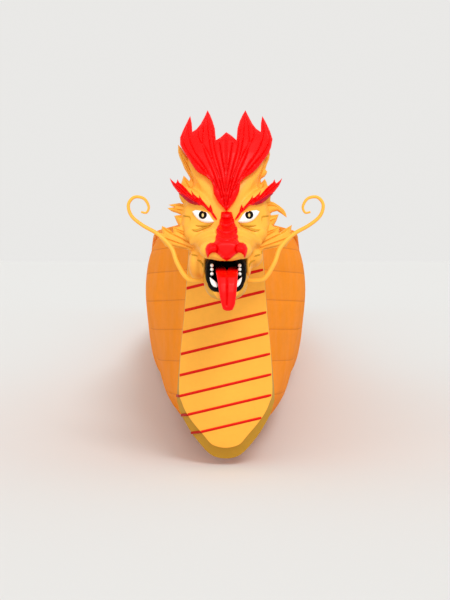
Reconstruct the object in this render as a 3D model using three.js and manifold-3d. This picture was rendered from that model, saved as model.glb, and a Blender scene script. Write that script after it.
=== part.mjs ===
// A dragon boat: a 12.5 m open racing hull for twenty paddlers, with a dragon figurehead over a
// striped chest board, ten benches, a drum with its seat, a tail and a steering oar.
// Units are millimetres and +Z is up. The bow points to -Y and the port side is +X. The origin is
// on the centreline amidships, at the waterline of the empty boat.
import * as THREE from "three";
import Module from "manifold-3d";

const wasm = await Module();
wasm.setup();

// Driving dimensions of the hull
const HULL_LENGTH = 12490;
const BOW_Y = -HULL_LENGTH / 2;
const SHELL = 18; // thickness of the planking
const GAP = 0.3; // between pieces that touch
const BOW_RAKE = 0.3; // how far the stem runs aft for each mm that it goes down
const BOW_RAKE_LENGTH = 2500;
const STERN_RAKE = 0.42;
const STERN_RAKE_LENGTH = 1900;
const BOARD = 25; // thickness of the bow and stern boards

// Hull form. Columns: s aft of the bow, half beam, keel height, sheer height, and the shape of the
// section: 0 is the egg of the bow, 1 the deep shoulders behind it, 2 the flat bottom amidships.
const FORM = [
  [0, 178, 48, 900, 0],
  [1000, 328, 14, 880, 0.9],
  [1500, 373, -2, 868, 1],
  [2000, 403, -18, 846, 1.1],
  [2500, 431, -31, 790, 1.25],
  [3000, 456, -41, 690, 1.5],
  [3500, 479, -48, 582, 1.8],
  [4000, 503, -54, 496, 2],
  [5000, 551, -62, 432, 2],
  [6245, 580, -65, 415, 2],
  [8000, 562, -61, 425, 2],
  [9500, 500, -46, 455, 2],
  [10500, 425, -24, 520, 1.8],
  [11300, 335, 8, 620, 1.3],
  [12000, 235, 58, 740, 0.8],
  [12490, 165, 112, 830, 0.4],
];
const [BEAM_COLUMN, KEEL_COLUMN, SHEER_COLUMN, SHAPE_COLUMN] = [1, 2, 3, 4];

// Half of a cross-section from the keel up to the sheer, as shares of the half beam and of the
// depth. Columns: breadth and height of the egg, of the shoulders and of the midship section.
const SECTION = [
  [0, 0, 0, 0, 0, 0],
  [0.2, 0.006, 0.22, 0.008, 0.3, 0.006],
  [0.37, 0.03, 0.42, 0.035, 0.56, 0.03],
  [0.57, 0.08, 0.6, 0.09, 0.75, 0.085],
  [0.77, 0.145, 0.745, 0.17, 0.87, 0.175],
  [0.92, 0.205, 0.83, 0.28, 0.925, 0.29],
  [0.985, 0.275, 0.9, 0.42, 0.958, 0.42],
  [0.94, 0.4, 0.958, 0.56, 0.982, 0.56],
  [0.88, 0.54, 1, 0.69, 0.995, 0.7],
  [0.82, 0.68, 0.995, 0.79, 1, 0.82],
  [0.755, 0.83, 0.955, 0.9, 1, 0.92],
  [0.69, 1, 0.87, 1, 0.995, 1],
];
const TOP = SECTION.length - 1;

// Stations at which the planking is faceted
const STATIONS = [
  0, 250, 550, 950, 1400, 1850, 2250, 2600, 2950, 3340, 3800, 4400, 5100, 5750, 6460, 7200, 8000,
  8800, 9580, 10150, 10700, 11250, 11700, 12100, 12490,
];

// The hull comes apart into sections that meet between two benches. Columns: name, from, to.
const SECTIONS = [
  ["bow", 0, 3340],
  ["fore", 3340, 6460],
  ["aft", 6460, 9580],
  ["stern", 9580, HULL_LENGTH],
];

// Fittings along the hull, as distances s aft of the bow
const BENCH_COUNT = 10;
const BENCH_PITCH = 780;
const FIRST_BENCH = 2950;
const BENCH = { depth: 230, thick: 28, top: 290 };
const POST = { width: 60, depth: 40 };
const RIB = { width: 30, high: 34, rows: [1, 2, 3, 5, 8] };
const KEELSON = { half: 90, thick: 22, from: 2450, to: 10560 };
const RAIL = { wide: 36, low: 228, high: BENCH.top - BENCH.thick - GAP, from: 2500, to: 10420 };
const FOREDECK = { from: -400, to: 985, thick: 22, wall: [960, 984] };
const AFTERDECK = { from: 11575, to: 12900, thick: 22, wall: [11576, 11600] };
const DRUM_FLOOR = { from: 990, to: 2400, low: 190, high: 212 };
const HELM_FLOOR = { from: 10620, to: 11570, low: 130, high: 152 };
const CAP = { inner: 22, outer: 12, thick: 26, lap: 1, round: 7 };

// Chest board below the head, as heights and half widths in its raked plane. Columns: height and
// half width of the back edge, height and half width of the face.
const CHEST = [
  [29, 0, 77, 0],
  [33, 30, 81, 28],
  [46, 58, 94, 56],
  [78, 89, 126, 82],
  [135, 131, 172, 119],
  [198, 164, 213, 146],
  [240, 178, 254, 163],
  [285, 182, 300, 173],
  [448, 167.5, 448, 165.5],
  [600, 152, 600, 150],
  [822, 133.5, 822, 131.5],
  [862, 130, 862, 128],
];
const CHEST_THICK = 34;
const PLATE_THICK = 8;
const STRIPE = { count: 8, first: 163, pitch: 79.3, slope: 0.245, half: 5, proud: 4, inset: 3 };

// Places of the groups that sit on the hull
const HEAD_PLACE = new THREE.Vector3(0, -6495, 946); // between the eyes
const DRUM_S = 2050;
const SEAT_S = 1330;
const OAR_S = 11800;
const OAR_X = 350;
const OAR_TILT = THREE.MathUtils.degToRad(-30);

const COLOURS = {
  hull: 0xf7941d,
  amber: 0xfbb040,
  red: 0xf20808,
  ochre: 0xb08030,
  wood: 0xd9c9b4,
  skin: 0xe8dcc0,
  black: 0x0a0a0a,
  white: 0xf8f8f4,
  steel: 0x8d9296,
};

// Geometry helpers

const vec = (x, y, z) => new THREE.Vector3(x, y, z);
const lerp = THREE.MathUtils.lerp;

// A solid from points and triangles, with equal points merged and collapsed faces dropped.
function solidOf(points, triangles) {
  const ids = new Map();
  const merged = [];
  const index = points.map((p) => {
    const key = [p.x, p.y, p.z].map((c) => Math.round(c * 1e3)).join();
    if (!ids.has(key)) {
      ids.set(key, merged.length / 3);
      merged.push(p.x, p.y, p.z);
    }
    return ids.get(key);
  });
  const faces = triangles
    .map((t) => t.map((i) => index[i]))
    .filter(([a, b, c]) => a !== b && b !== c && c !== a);
  const make = (list) =>
    new wasm.Manifold(
      new wasm.Mesh({
        numProp: 3,
        vertProperties: new Float32Array(merged),
        triVerts: new Uint32Array(list.flat()),
      }),
    );
  const made = make(faces);
  return made.volume() > 0 ? made : make(faces.map(([a, b, c]) => [a, c, b]));
}

// A solid through rings of equally many points, closed at both ends. The ends are flat.
function loft(rings) {
  const n = rings[0].length;
  const faces = [];
  for (let i = 0; i + 1 < rings.length; i++) {
    for (let j = 0; j < n; j++) {
      const a = i * n + j;
      const b = i * n + ((j + 1) % n);
      faces.push([a, b, b + n], [a, b + n, a + n]);
    }
  }
  const cap = (ring, start, turned) => {
    const normal = vec(0, 0, 0);
    ring.forEach((p, j) => normal.add(p.clone().cross(ring[(j + 1) % n])));
    if (normal.length() < 1e-6) return; // the ring is a tip
    const turn = new THREE.Quaternion().setFromUnitVectors(normal.normalize(), vec(0, 0, 1));
    const flat = ring.map((p) => {
      const q = p.clone().sub(ring[0]).applyQuaternion(turn);
      return new THREE.Vector2(q.x, q.y);
    });
    for (const [a, b, c] of THREE.ShapeUtils.triangulateShape(flat, [])) {
      const face = [start + a, start + b, start + c];
      faces.push(turned ? face.reverse() : face);
    }
  };
  cap(rings[0], 0, true);
  cap(rings.at(-1), (rings.length - 1) * n, false);
  return solidOf(rings.flat(), faces);
}

// A three.js geometry as a solid, moved to a place.
function solidGeometry(geometry, x = 0, y = 0, z = 0) {
  const g = geometry.index ? geometry.toNonIndexed() : geometry;
  const position = g.getAttribute("position");
  const points = [];
  const faces = [];
  for (let i = 0; i < position.count; i++) {
    points.push(vec(position.getX(i) + x, position.getY(i) + y, position.getZ(i) + z));
    if (i % 3 === 2) faces.push([i - 2, i - 1, i]);
  }
  return solidOf(points, faces);
}

function box(low, high) {
  const size = high.clone().sub(low);
  const centre = low.clone().add(high).multiplyScalar(0.5);
  const geometry = new THREE.BoxGeometry(size.x, size.y, size.z);
  return solidGeometry(geometry, centre.x, centre.y, centre.z);
}

// A cylinder between two points.
function rod(from, to, radius, sides = 16) {
  const along = to.clone().sub(from);
  const geometry = new THREE.CylinderGeometry(radius, radius, along.length(), sides);
  geometry.applyQuaternion(
    new THREE.Quaternion().setFromUnitVectors(vec(0, 1, 0), along.clone().normalize()),
  );
  const centre = from.clone().addScaledVector(along, 0.5);
  return solidGeometry(geometry, centre.x, centre.y, centre.z);
}

const joined = (solids) => solids.reduce((all, next) => all.add(next));

// The corners and faces of a solid.
function meshOf(solid) {
  const { numProp, numVert, vertProperties, triVerts } = solid.getMesh();
  const points = Array.from({ length: numVert }, (_, i) =>
    vec(...vertProperties.subarray(i * numProp, i * numProp + 3)),
  );
  const faces = Array.from({ length: triVerts.length / 3 }, (_, i) => [
    ...triVerts.subarray(i * 3, i * 3 + 3),
  ]);
  return { points, faces };
}

function transformed(solid, matrix) {
  const { points, faces } = meshOf(solid);
  return solidOf(points.map((p) => p.applyMatrix4(matrix)), faces);
}

const mirrored = (solid) => transformed(solid, new THREE.Matrix4().makeScale(-1, 1, 1));

const moved = (solid, by) => transformed(solid, new THREE.Matrix4().makeTranslation(by));

// The solid with its faces moved out by a small distance.
function grown(solid, distance = GAP) {
  const SHARPEST = 0.35; // cosine that limits how far a sharp corner moves
  const { points, faces } = meshOf(solid);
  const normals = faces.map((face) => {
    const [a, b, c] = face.map((k) => points[k]);
    return b.clone().sub(a).cross(c.clone().sub(a)).normalize();
  });
  const ways = points.map(() => vec(0, 0, 0));
  faces.forEach((face, i) => {
    face.forEach((k, turn) => {
      const to = points[face[(turn + 1) % 3]].clone().sub(points[k]);
      const from = points[face[(turn + 2) % 3]].clone().sub(points[k]);
      ways[k].addScaledVector(normals[i], to.angleTo(from));
    });
  });
  ways.forEach((way) => way.normalize());
  const spread = points.map(() => 1);
  faces.forEach((face, i) => {
    for (const k of face) spread[k] = Math.min(spread[k], ways[k].dot(normals[i]));
  });
  const out = points.map((p, k) =>
    p.clone().addScaledVector(ways[k], distance / Math.max(SHARPEST, spread[k])),
  );
  return solidOf(out, faces);
}

// The largest part of a piece that is cut back from the pieces that it sits against.
function seated(piece, ...carriers) {
  const cut = carriers.reduce((left, carrier) => left.subtract(grown(carrier)), piece);
  return cut.decompose().sort((a, b) => b.volume() - a.volume())[0];
}

// An upright elliptical ring in a plane across Y. exponent 2 is an ellipse, more is squarer.
function ovalRing(x, y, z, halfWidth, above, below, sides = 16, exponent = 2.3) {
  const power = (v) => Math.sign(v) * Math.abs(v) ** (2 / exponent);
  return Array.from({ length: sides }, (_, i) => {
    const angle = (i / sides) * 2 * Math.PI;
    const rise = power(Math.sin(angle));
    return vec(x + halfWidth * power(Math.cos(angle)), y, z + rise * (rise > 0 ? above : below));
  });
}

// A leaf-shaped flame along a curve: wide near its root, flat, and pointed at the tip.
function flame({ from, via, to, width, thick, root = 0.55, steps = 5, sides = 6 }) {
  const spine = new THREE.QuadraticBezierCurve3(vec(...from), vec(...via), vec(...to));
  const rings = [];
  for (let i = 0; i <= steps; i++) {
    const t = i / steps;
    const centre = spine.getPoint(t);
    const tangent = spine.getTangent(t);
    const side = new THREE.Vector3().crossVectors(tangent, vec(0, 1, 0)).normalize();
    const thin = new THREE.Vector3().crossVectors(side, tangent).normalize();
    const swell = i === steps ? 0 : lerp(root, 1, Math.min(1, t / 0.3)) * (1 - t ** 2.2) ** 0.8;
    rings.push(
      Array.from({ length: sides }, (_, k) => {
        const angle = (k / sides) * 2 * Math.PI;
        return centre
          .clone()
          .addScaledVector(side, (Math.cos(angle) * swell * width) / 2)
          .addScaledVector(thin, (Math.sin(angle) * swell * thick) / 2);
      }),
    );
  }
  return loft(rings);
}

// A round tapered tube through points. radii are at even steps along it.
function taperedTube(points, radii, steps, sides = 8) {
  const path = new THREE.CatmullRomCurve3(points.map((p) => vec(...p)), false, "centripetal");
  const frames = path.computeFrenetFrames(steps, false);
  const rings = [];
  for (let i = 0; i <= steps; i++) {
    const place = (i / steps) * (radii.length - 1);
    const row = Math.min(Math.floor(place), radii.length - 2);
    const radius = lerp(radii[row], radii[row + 1], place - row);
    const centre = path.getPointAt(i / steps);
    rings.push(
      Array.from({ length: sides }, (_, k) => {
        const angle = (k / sides) * 2 * Math.PI;
        return centre
          .clone()
          .addScaledVector(frames.normals[i], Math.cos(angle) * radius)
          .addScaledVector(frames.binormals[i], Math.sin(angle) * radius);
      }),
    );
  }
  return loft(rings);
}

// Hull form functions

// A column of FORM at s, through its rows on a smooth curve.
function form(column, s) {
  const clamped = THREE.MathUtils.clamp(s, 0, HULL_LENGTH);
  const row = Math.max(1, FORM.findIndex((r) => r[0] >= clamped));
  const slope = (i) => {
    const [before, after] = [FORM[Math.max(i - 1, 0)], FORM[Math.min(i + 1, FORM.length - 1)]];
    return (after[column] - before[column]) / (after[0] - before[0]);
  };
  const [a, b] = [FORM[row - 1], FORM[row]];
  const span = b[0] - a[0];
  const t = (clamped - a[0]) / span;
  return (
    a[column] * (2 * t ** 3 - 3 * t ** 2 + 1) +
    slope(row - 1) * span * (t ** 3 - 2 * t ** 2 + t) +
    b[column] * (3 * t ** 2 - 2 * t ** 3) +
    slope(row) * span * (t ** 3 - t ** 2)
  );
}

const sheerAt = (s) => form(SHEER_COLUMN, s);

// Y of a point at station s and height z: the ends are raked.
function yAt(s, z) {
  const clamped = THREE.MathUtils.clamp(s, 0, HULL_LENGTH);
  const bow = Math.max(0, 1 - clamped / BOW_RAKE_LENGTH) ** 2;
  const stern = Math.max(0, 1 - (HULL_LENGTH - clamped) / STERN_RAKE_LENGTH) ** 2;
  const drop = sheerAt(clamped) - z;
  return BOW_Y + s + (BOW_RAKE * bow - STERN_RAKE * stern) * drop;
}

// Half of the section at s, from the keel to the sheer, moved inwards by inset.
function halfSection(s, inset = 0) {
  const shape = form(SHAPE_COLUMN, s);
  const beam = form(BEAM_COLUMN, s);
  const keel = form(KEEL_COLUMN, s);
  const depth = sheerAt(s) - keel;
  const from = Math.min(Math.floor(shape), 1) * 2; // first column of the two shapes to blend
  const share = shape - from / 2;
  const outer = SECTION.map((row) => [
    beam * lerp(row[from], row[from + 2], share),
    keel + depth * lerp(row[from + 1], row[from + 3], share),
  ]);
  return outer.map(([x, z], i) => {
    const [x0, z0] = outer[Math.max(i - 1, 0)];
    const [x1, z1] = outer[Math.min(i + 1, TOP)];
    const [dx, dz] = i === 0 ? [1, 0] : [x1 - x0, z1 - z0];
    const length = Math.hypot(dx, dz);
    const rise = i === TOP ? 0 : (inset * dx) / length;
    return [x - (inset * dz) / length, z + rise];
  });
}

// The whole section at s, from the starboard sheer round the keel to the port sheer.
function wholeSection(s, inset = 0) {
  const half = halfSection(s, inset);
  const starboard = half.slice(1).reverse().map(([x, z]) => [-x, z]);
  return [...starboard, ...half];
}

const place = (s, [x, z]) => vec(x, yAt(s, z), z);

// The space inside the planking, moved inwards by inset and open far above the sheer.
function cavity(inset) {
  const HEADROOM = 400;
  const port = loft(
    STATIONS.map((s) => {
      const half = halfSection(s, SHELL + inset);
      const [x, z] = half[TOP];
      return [...half, [x, z + HEADROOM], [0, z + HEADROOM]].map((p) => place(s, p));
    }),
  );
  return port.add(mirrored(port));
}

// A block across the whole hull between two stations and two heights.
const slab = (from, to, low, high) =>
  box(vec(-700, BOW_Y + from, low), vec(700, BOW_Y + to, high));

// Hull sections

// The stations of a section, with half a gap at each joint.
function stationsOf([, from, to]) {
  const start = from > 0 ? from + GAP / 2 : from;
  const end = to < HULL_LENGTH ? to - GAP / 2 : to;
  return [start, ...STATIONS.filter((s) => s > from && s < to), end];
}

// The port half of the planking, from the keel up into the gunwale's cap.
function planking(stations) {
  const rings = stations.map((s) => {
    const outer = halfSection(s);
    const inner = halfSection(s, SHELL);
    for (const list of [outer, inner]) list[TOP][1] += CAP.lap;
    return [...inner, ...outer.reverse()].map((p) => place(s, p));
  });
  return loft(rings);
}

// The cap along the port gunwale. At the ends of the hull it covers the boards too.
function gunwaleCap(stations) {
  const first = stations[0] === 0 ? [-BOARD] : [];
  const last = stations.at(-1) === HULL_LENGTH ? [HULL_LENGTH + BOARD] : [];
  return loft(
    [...first, ...stations, ...last].map((s) => {
      const [x, z] = halfSection(s)[TOP];
      const y = yAt(s, z);
      const [low, high] = [z + GAP, z + GAP + CAP.thick];
      const inside = x - SHELL - CAP.inner;
      const outside = x + CAP.outer;
      return [
        vec(inside, y, low),
        vec(outside, y, low),
        vec(outside, y, high - CAP.round),
        vec(outside - CAP.round, y, high),
        vec(inside + CAP.round, y, high),
        vec(inside, y, high - CAP.round),
      ];
    }),
  );
}

// A lining of some thickness inside the planking, and a little way into it.
const lining = (thick) => cavity(-CAP.lap).subtract(cavity(thick));

// The plank along the middle of the bottom.
function keelson() {
  const centre = box(
    vec(-KEELSON.half, BOW_Y + KEELSON.from, -200),
    vec(KEELSON.half, BOW_Y + KEELSON.to, 80),
  );
  return lining(KEELSON.thick).intersect(centre);
}

// The ledges along both sides that carry the benches.
const benchRails = () =>
  lining(RAIL.wide).intersect(slab(RAIL.from, RAIL.to, RAIL.low, RAIL.high));

// One section of the hull, with its part of what runs along it inside.
function hullSection(section, inside) {
  const stations = stationsOf(section);
  const port = planking(stations).add(gunwaleCap(stations));
  const length = slab(stations[0], stations.at(-1), -200, 1200);
  return joined([port, mirrored(port), inside.intersect(length)]);
}

// A board that closes an end of the hull. It lies along the raked end, outside the planking.
function endBoard(s, outward) {
  const near = outward * GAP;
  const far = outward * BOARD;
  return loft(
    [near, far].map((step) =>
      wholeSection(s).map(([x, z]) => vec(x, yAt(s, z) + step, z)),
    ),
  );
}

// A deck flush with the sheer, between the side planks, with the bulkhead that closes off the
// space below it.
function deck({ from, to, thick, wall: [near, far] }) {
  const layer = loft(
    STATIONS.map((s) => {
      const high = sheerAt(s) - GAP;
      const low = high - thick;
      const corners = [[-600, low], [600, low], [600, high], [-600, high]];
      return corners.map((p) => place(s, p));
    }),
  );
  const top = Math.min(sheerAt(near), sheerAt(far)) - thick / 2;
  const bulkhead = slab(near, far, -200, top);
  return layer.intersect(slab(from, to, 0, 1200)).add(bulkhead).intersect(cavity(GAP));
}

// A floor across the hull, between the planks.
const flooring = ({ from, to, low, high }) => slab(from, to, low, high).intersect(cavity(GAP));

// A rib from side to side. Its inner edge is a plain curve through a few rows of the section.
function rib(s, room) {
  const inner = halfSection(s, SHELL + RIB.high);
  const half = RIB.rows.map((row) => inner[row]);
  const [x, z] = half.at(-1);
  half.push([x, z + 300]);
  const ring = [...half.slice().reverse().map(([a, b]) => [-a, b]), ...half];
  const [fore, aft] = [s - RIB.width / 2, s + RIB.width / 2];
  const opening = loft(
    [fore - 5, aft + 5].map((at) => ring.map(([a, b]) => vec(a, BOW_Y + at, b))),
  );
  return slab(fore, aft, -200, RAIL.low - GAP).subtract(opening).intersect(room);
}

// A bench board from side to side on the rails, with the post and the rib under it.
function bench(s, plank, room) {
  const board = slab(s - BENCH.depth / 2, s + BENCH.depth / 2, BENCH.top - BENCH.thick, BENCH.top);
  const post = box(
    vec(-POST.width / 2, BOW_Y + s - POST.depth / 2, -200),
    vec(POST.width / 2, BOW_Y + s + POST.depth / 2, BENCH.top - BENCH.thick / 2),
  );
  return seated(joined([board, post]).intersect(room).add(rib(s, room)), plank);
}

// Chest board

const boardFront = GAP * 2 + BOARD; // how far the chest board's back lies ahead of the hull's end

function chestRing(ahead, heightColumn, widthColumn) {
  const half = CHEST.map((row) => [row[widthColumn], row[heightColumn]]);
  const starboard = half.slice(1).reverse().map(([x, z]) => [-x, z]);
  return [...starboard, ...half].map(([x, z]) => vec(x, yAt(0, z) - ahead, z));
}

const chestBoard = () =>
  loft([chestRing(boardFront, 0, 1), chestRing(boardFront + CHEST_THICK, 2, 3)]);

// The plate on the board's face, with its slanting stripes raised.
function chestPlate() {
  const back = boardFront + CHEST_THICK + GAP;
  const plate = loft([chestRing(back, 2, 3), chestRing(back + PLATE_THICK, 2, 3)]);
  const proud = loft([
    chestRing(back + PLATE_THICK - 1, 2, 3),
    chestRing(back + PLATE_THICK + STRIPE.proud, 2, 3),
  ]);
  const stripes = Array.from({ length: STRIPE.count }, (_, i) => {
    const middle = STRIPE.first + i * STRIPE.pitch;
    const edge = (x, side) => vec(x, 0, middle + x * STRIPE.slope + side * STRIPE.half);
    const ring = [edge(-300, -1), edge(300, -1), edge(300, 1), edge(-300, 1)];
    const block = loft([-6600, -5900].map((y) => ring.map((p) => vec(p.x, y, p.z))));
    return block.intersect(proud);
  });
  return joined([plate, ...stripes]);
}

// Figurehead, in the head's own frame: the origin is between the eyes and -Y is forward.

// Outline of the face from the chin up, in its own plane. Columns: height, half width.
const FACE = [
  [-152, 50],
  [-130, 112],
  [-90, 146],
  [-40, 158],
  [20, 152],
  [70, 137],
  [118, 117],
  [150, 122],
  [190, 136],
  [225, 118],
  [238, 60],
];
// Columns: y, scale of the outline's widths, scale of its heights, how far it is raised.
const SKULL = [
  [165, 0.5, 0.4, 20],
  [120, 0.8, 0.8, 6],
  [60, 0.98, 1, 0],
  [0, 1, 1, 0],
  [-45, 0.9, 0.84, -6],
  [-75, 0.66, 0.62, -14],
  [-92, 0.36, 0.38, -20],
];
// Columns: y, height of the middle, half width, reach above it, reach below it.
const MUZZLE = [
  [-30, -98, 112, 62, 58],
  [-100, -108, 96, 54, 52],
  [-160, -116, 84, 46, 44],
  [-205, -121, 74, 36, 38],
  [-228, -123, 50, 24, 28],
];
const JAW = [
  [70, -172, 84, 42, 42],
  [15, -190, 114, 50, 50],
  [-50, -216, 98, 46, 46],
  [-110, -245, 80, 34, 42],
  [-160, -262, 66, 24, 32],
  [-195, -270, 44, 14, 20],
];
const THROAT = [
  [45, -185, 66, 40, 24],
  [-20, -200, 78, 50, 26],
  [-80, -222, 66, 60, 26],
  [-140, -246, 54, 60, 24],
  [-176, -258, 40, 50, 14],
];
const NOSE = [
  [-70, 4, 20, 16, 30],
  [-96, -20, 25, 26, 40],
  [-128, -48, 33, 32, 44],
  [-168, -74, 38, 32, 40],
  [-208, -92, 46, 34, 44],
  [-244, -108, 44, 28, 44],
  [-262, -116, 26, 16, 32],
];

const lofted = (rows, sides = 16) =>
  loft(rows.map(([y, z, half, above, below]) => ovalRing(0, y, z, half, above, below, sides)));

function headShell() {
  const skull = loft(
    SKULL.map(([y, wide, high, raised]) => {
      const port = FACE.map(([z, half]) => vec(half * wide, y, z * high + raised));
      const starboard = port.map((p) => vec(-p.x, p.y, p.z));
      return [...port, ...starboard.reverse()];
    }),
  );
  return skull.add(lofted(MUZZLE, 14));
}

function lowerJaw(core) {
  const trough = lofted(JAW).subtract(lofted(THROAT, 12));
  return seated(joined([trough, tusk(), mirrored(tusk())]), core);
}

// The dark inside of the mouth, with the small teeth down both sides.
const LINING = [
  [30, -180, 80, 34, 34],
  [-30, -188, 88, 44, 40],
  [-100, -204, 74, 50, 46],
  [-150, -214, 64, 52, 44],
];
const LINING_HOLLOW = [
  [-25, -190, 46, 30, 24],
  [-90, -200, 52, 44, 30],
  [-200, -220, 50, 80, 34],
];
const TEETH = [[-150, -182], [-152, -198], [-154, -214]]; // y, z
const TOOTH = { x: 57, radius: 9 };

function mouthLining(shell) {
  const pegs = [1, -1].flatMap((side) =>
    TEETH.map(([y, z]) => {
      const peg = new THREE.SphereGeometry(TOOTH.radius, 7, 5);
      return solidGeometry(peg, side * TOOTH.x, y, z);
    }),
  );
  const wall = lofted(LINING, 12).subtract(lofted(LINING_HOLLOW, 10));
  return seated(joined([wall, ...pegs]), shell, lofted(JAW));
}

// A tusk that stands up from the lower jaw.
const tusk = () =>
  flame({
    from: [38, -150, -262],
    via: [46, -196, -256],
    to: [56, -190, -200],
    width: 26,
    thick: 22,
    root: 0.8,
  });

function tongue(...around) {
  // Columns: y, z, half width, half thickness
  const strip = [
    [0, -212, 22, 8],
    [-60, -208, 30, 9],
    [-120, -198, 35, 9],
    [-180, -190, 36, 9],
    [-214, -203, 35, 9],
    [-233, -240, 31, 9],
    [-238, -280, 26, 8],
    [-238, -318, 19, 7],
    [-236, -330, 8, 4],
  ];
  const rings = strip.map(([y, z, half, thick], i) => {
    const [before, after] = [strip[Math.max(i - 1, 0)], strip[Math.min(i + 1, strip.length - 1)]];
    const along = vec(0, after[0] - before[0], after[1] - before[1]).normalize();
    const up = vec(0, -along.z, along.y);
    return Array.from({ length: 10 }, (_, k) => {
      const angle = (k / 10) * 2 * Math.PI;
      const rise = Math.sin(angle) * thick;
      return vec(Math.cos(angle) * half, y + up.y * rise, z + up.z * rise);
    });
  });
  return seated(loft(rings), ...around);
}

function nose(shell) {
  const wings = [-1, 1].map((side) =>
    loft(
      [[-168, 26, 20], [-190, 40, 30], [-222, 38, 28], [-240, 22, 16]].map(([y, half, high]) =>
        ovalRing(side * 44, y, -112, half * 0.75, high, high, 10, 2),
      ),
    ),
  );
  return seated(joined([lofted(NOSE, 12), ...wings]), shell);
}

// The shield of the crest, which runs down to a point between the brows.
// Columns: height, half width, y of the front, y of the back.
const SHIELD = [
  [8, 4, -106, -94],
  [60, 28, -110, -84],
  [107, 50, -106, -70],
  [150, 92, -98, -48],
  [205, 128, -80, -14],
  [250, 150, -56, 10],
  [266, 118, -40, 10],
];
// Each row is a flame of the crest on the port side or on the centreline.
// Columns: root, bend, tip, width, thickness.
const CREST = [
  [[0, -70, 180], [0, -60, 220], [0, 20, 278], 66, 50],
  [[34, -80, 120], [44, -64, 230], [66, 40, 354], 104, 54],
  [[84, -64, 150], [130, -40, 220], [123, 60, 334], 82, 50],
  [[100, -60, 150], [142, -40, 200], [160, 40, 262], 66, 46],
];

function crest(...others) {
  const shield = loft(
    SHIELD.map(([z, half, front, back]) => {
      const [middle, deep] = [(front + back) / 2, (back - front) / 2];
      return Array.from({ length: 10 }, (_, k) => {
        const angle = (k / 10) * 2 * Math.PI;
        return vec(half * Math.cos(angle), middle + deep * Math.sin(angle), z);
      });
    }),
  );
  const flames = [];
  for (const [from, via, to, width, thick] of CREST) {
    for (const side of from[0] ? [1, -1] : [1]) {
      const turned = ([x, y, z]) => [x * side, y, z];
      flames.push(
        flame({ from: turned(from), via: turned(via), to: turned(to), width, thick, root: 0.5 }),
      );
    }
  }
  return seated(joined([shield, ...flames]), ...others);
}

// The pieces that come in pairs are made for the port side.

function brow() {
  const flames = [
    [[30, -92, -16], [72, -104, 46], [190, -30, 118], 34],
    [[70, -96, 30], [100, -92, 66], [112, -78, 96], 20],
    [[110, -84, 62], [150, -64, 92], [174, -44, 128], 22],
  ].map(([from, via, to, width]) => flame({ from, via, to, width, thick: 26, root: 0.5 }));
  return joined(flames);
}

function eye() {
  const ball = new THREE.SphereGeometry(1, 12, 8);
  ball.scale(37, 22, 18);
  ball.rotateY(THREE.MathUtils.degToRad(-17));
  return solidGeometry(ball, 80, -92, -3);
}

// Amber lobe and tufts at the temple, behind the crest, on one root.
function ear() {
  const root = loft(
    [[-6, 26], [20, 56], [58, 62], [80, 30]].map(([y, high]) =>
      ovalRing(136, y, 52, 28, high, high + 24, 8),
    ),
  );
  const flames = [
    [[118, 40, 60], [146, 46, 130], [165, 60, 246], 84],
    [[120, 30, 90], [136, 36, 112], [150, 40, 128], 30],
    [[130, 10, 20], [176, 10, 46], [197, 18, 31], 40],
    [[134, 4, -14], [176, 6, 2], [209, 12, -8], 34],
  ].map(([from, via, to, width]) => flame({ from, via, to, width, thick: 44, root: 0.8 }));
  return joined([root, ...flames]);
}

// Frill of the cheek.
function cheekFrill() {
  const flames = [
    [[120, 0, -110], [176, 0, -84], [180, 6, -34], 54],
    [[120, 0, -120], [190, 0, -96], [222, 8, -38], 56],
    [[110, 0, -130], [180, 0, -130], [236, 8, -84], 52],
    [[100, 4, -140], [150, 4, -150], [206, 8, -128], 44],
  ].map(([from, via, to, width]) => flame({ from, via, to, width, thick: 40, root: 0.8 }));
  return joined(flames);
}

// The whisker runs from the corner of the jaw round the frill and ends in a curl.
function whisker() {
  const path = [
    [96, -62, -226],
    [130, -74, -219],
    [164, -72, -167],
    [184, -60, -116],
    [229, -50, -70],
    [284, -44, -38],
    [321, -40, -6],
    [331, -38, 31],
    [312, -36, 56],
    [279, -36, 52],
    [262, -36, 24],
    [270, -36, 4],
    [288, -36, 6],
  ];
  return taperedTube(path, [10, 9, 8, 7, 7, 6, 4], 26, 6);
}

// Neck and mane, in the boat's frame

// Columns: y, height of the foot, half width, height of the back
const NECK = [
  [-5640, 882, 36, 912],
  [-5760, 884, 60, 958],
  [-5950, 893, 78, 1022],
  [-6150, 902, 96, 1082],
  [-6290, 903, 108, 1100],
  [-6350, 912, 100, 1084],
];

function neck(...others) {
  const sides = 10;
  const body = loft(
    NECK.map(([y, foot, half, back]) =>
      Array.from({ length: sides + 1 }, (_, i) => {
        const angle = (i / sides) * Math.PI;
        return vec(half * Math.cos(angle), y, foot + (back - foot) * Math.sin(angle) ** 0.8);
      }),
    ),
  );
  return seated(body, ...others);
}

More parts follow.
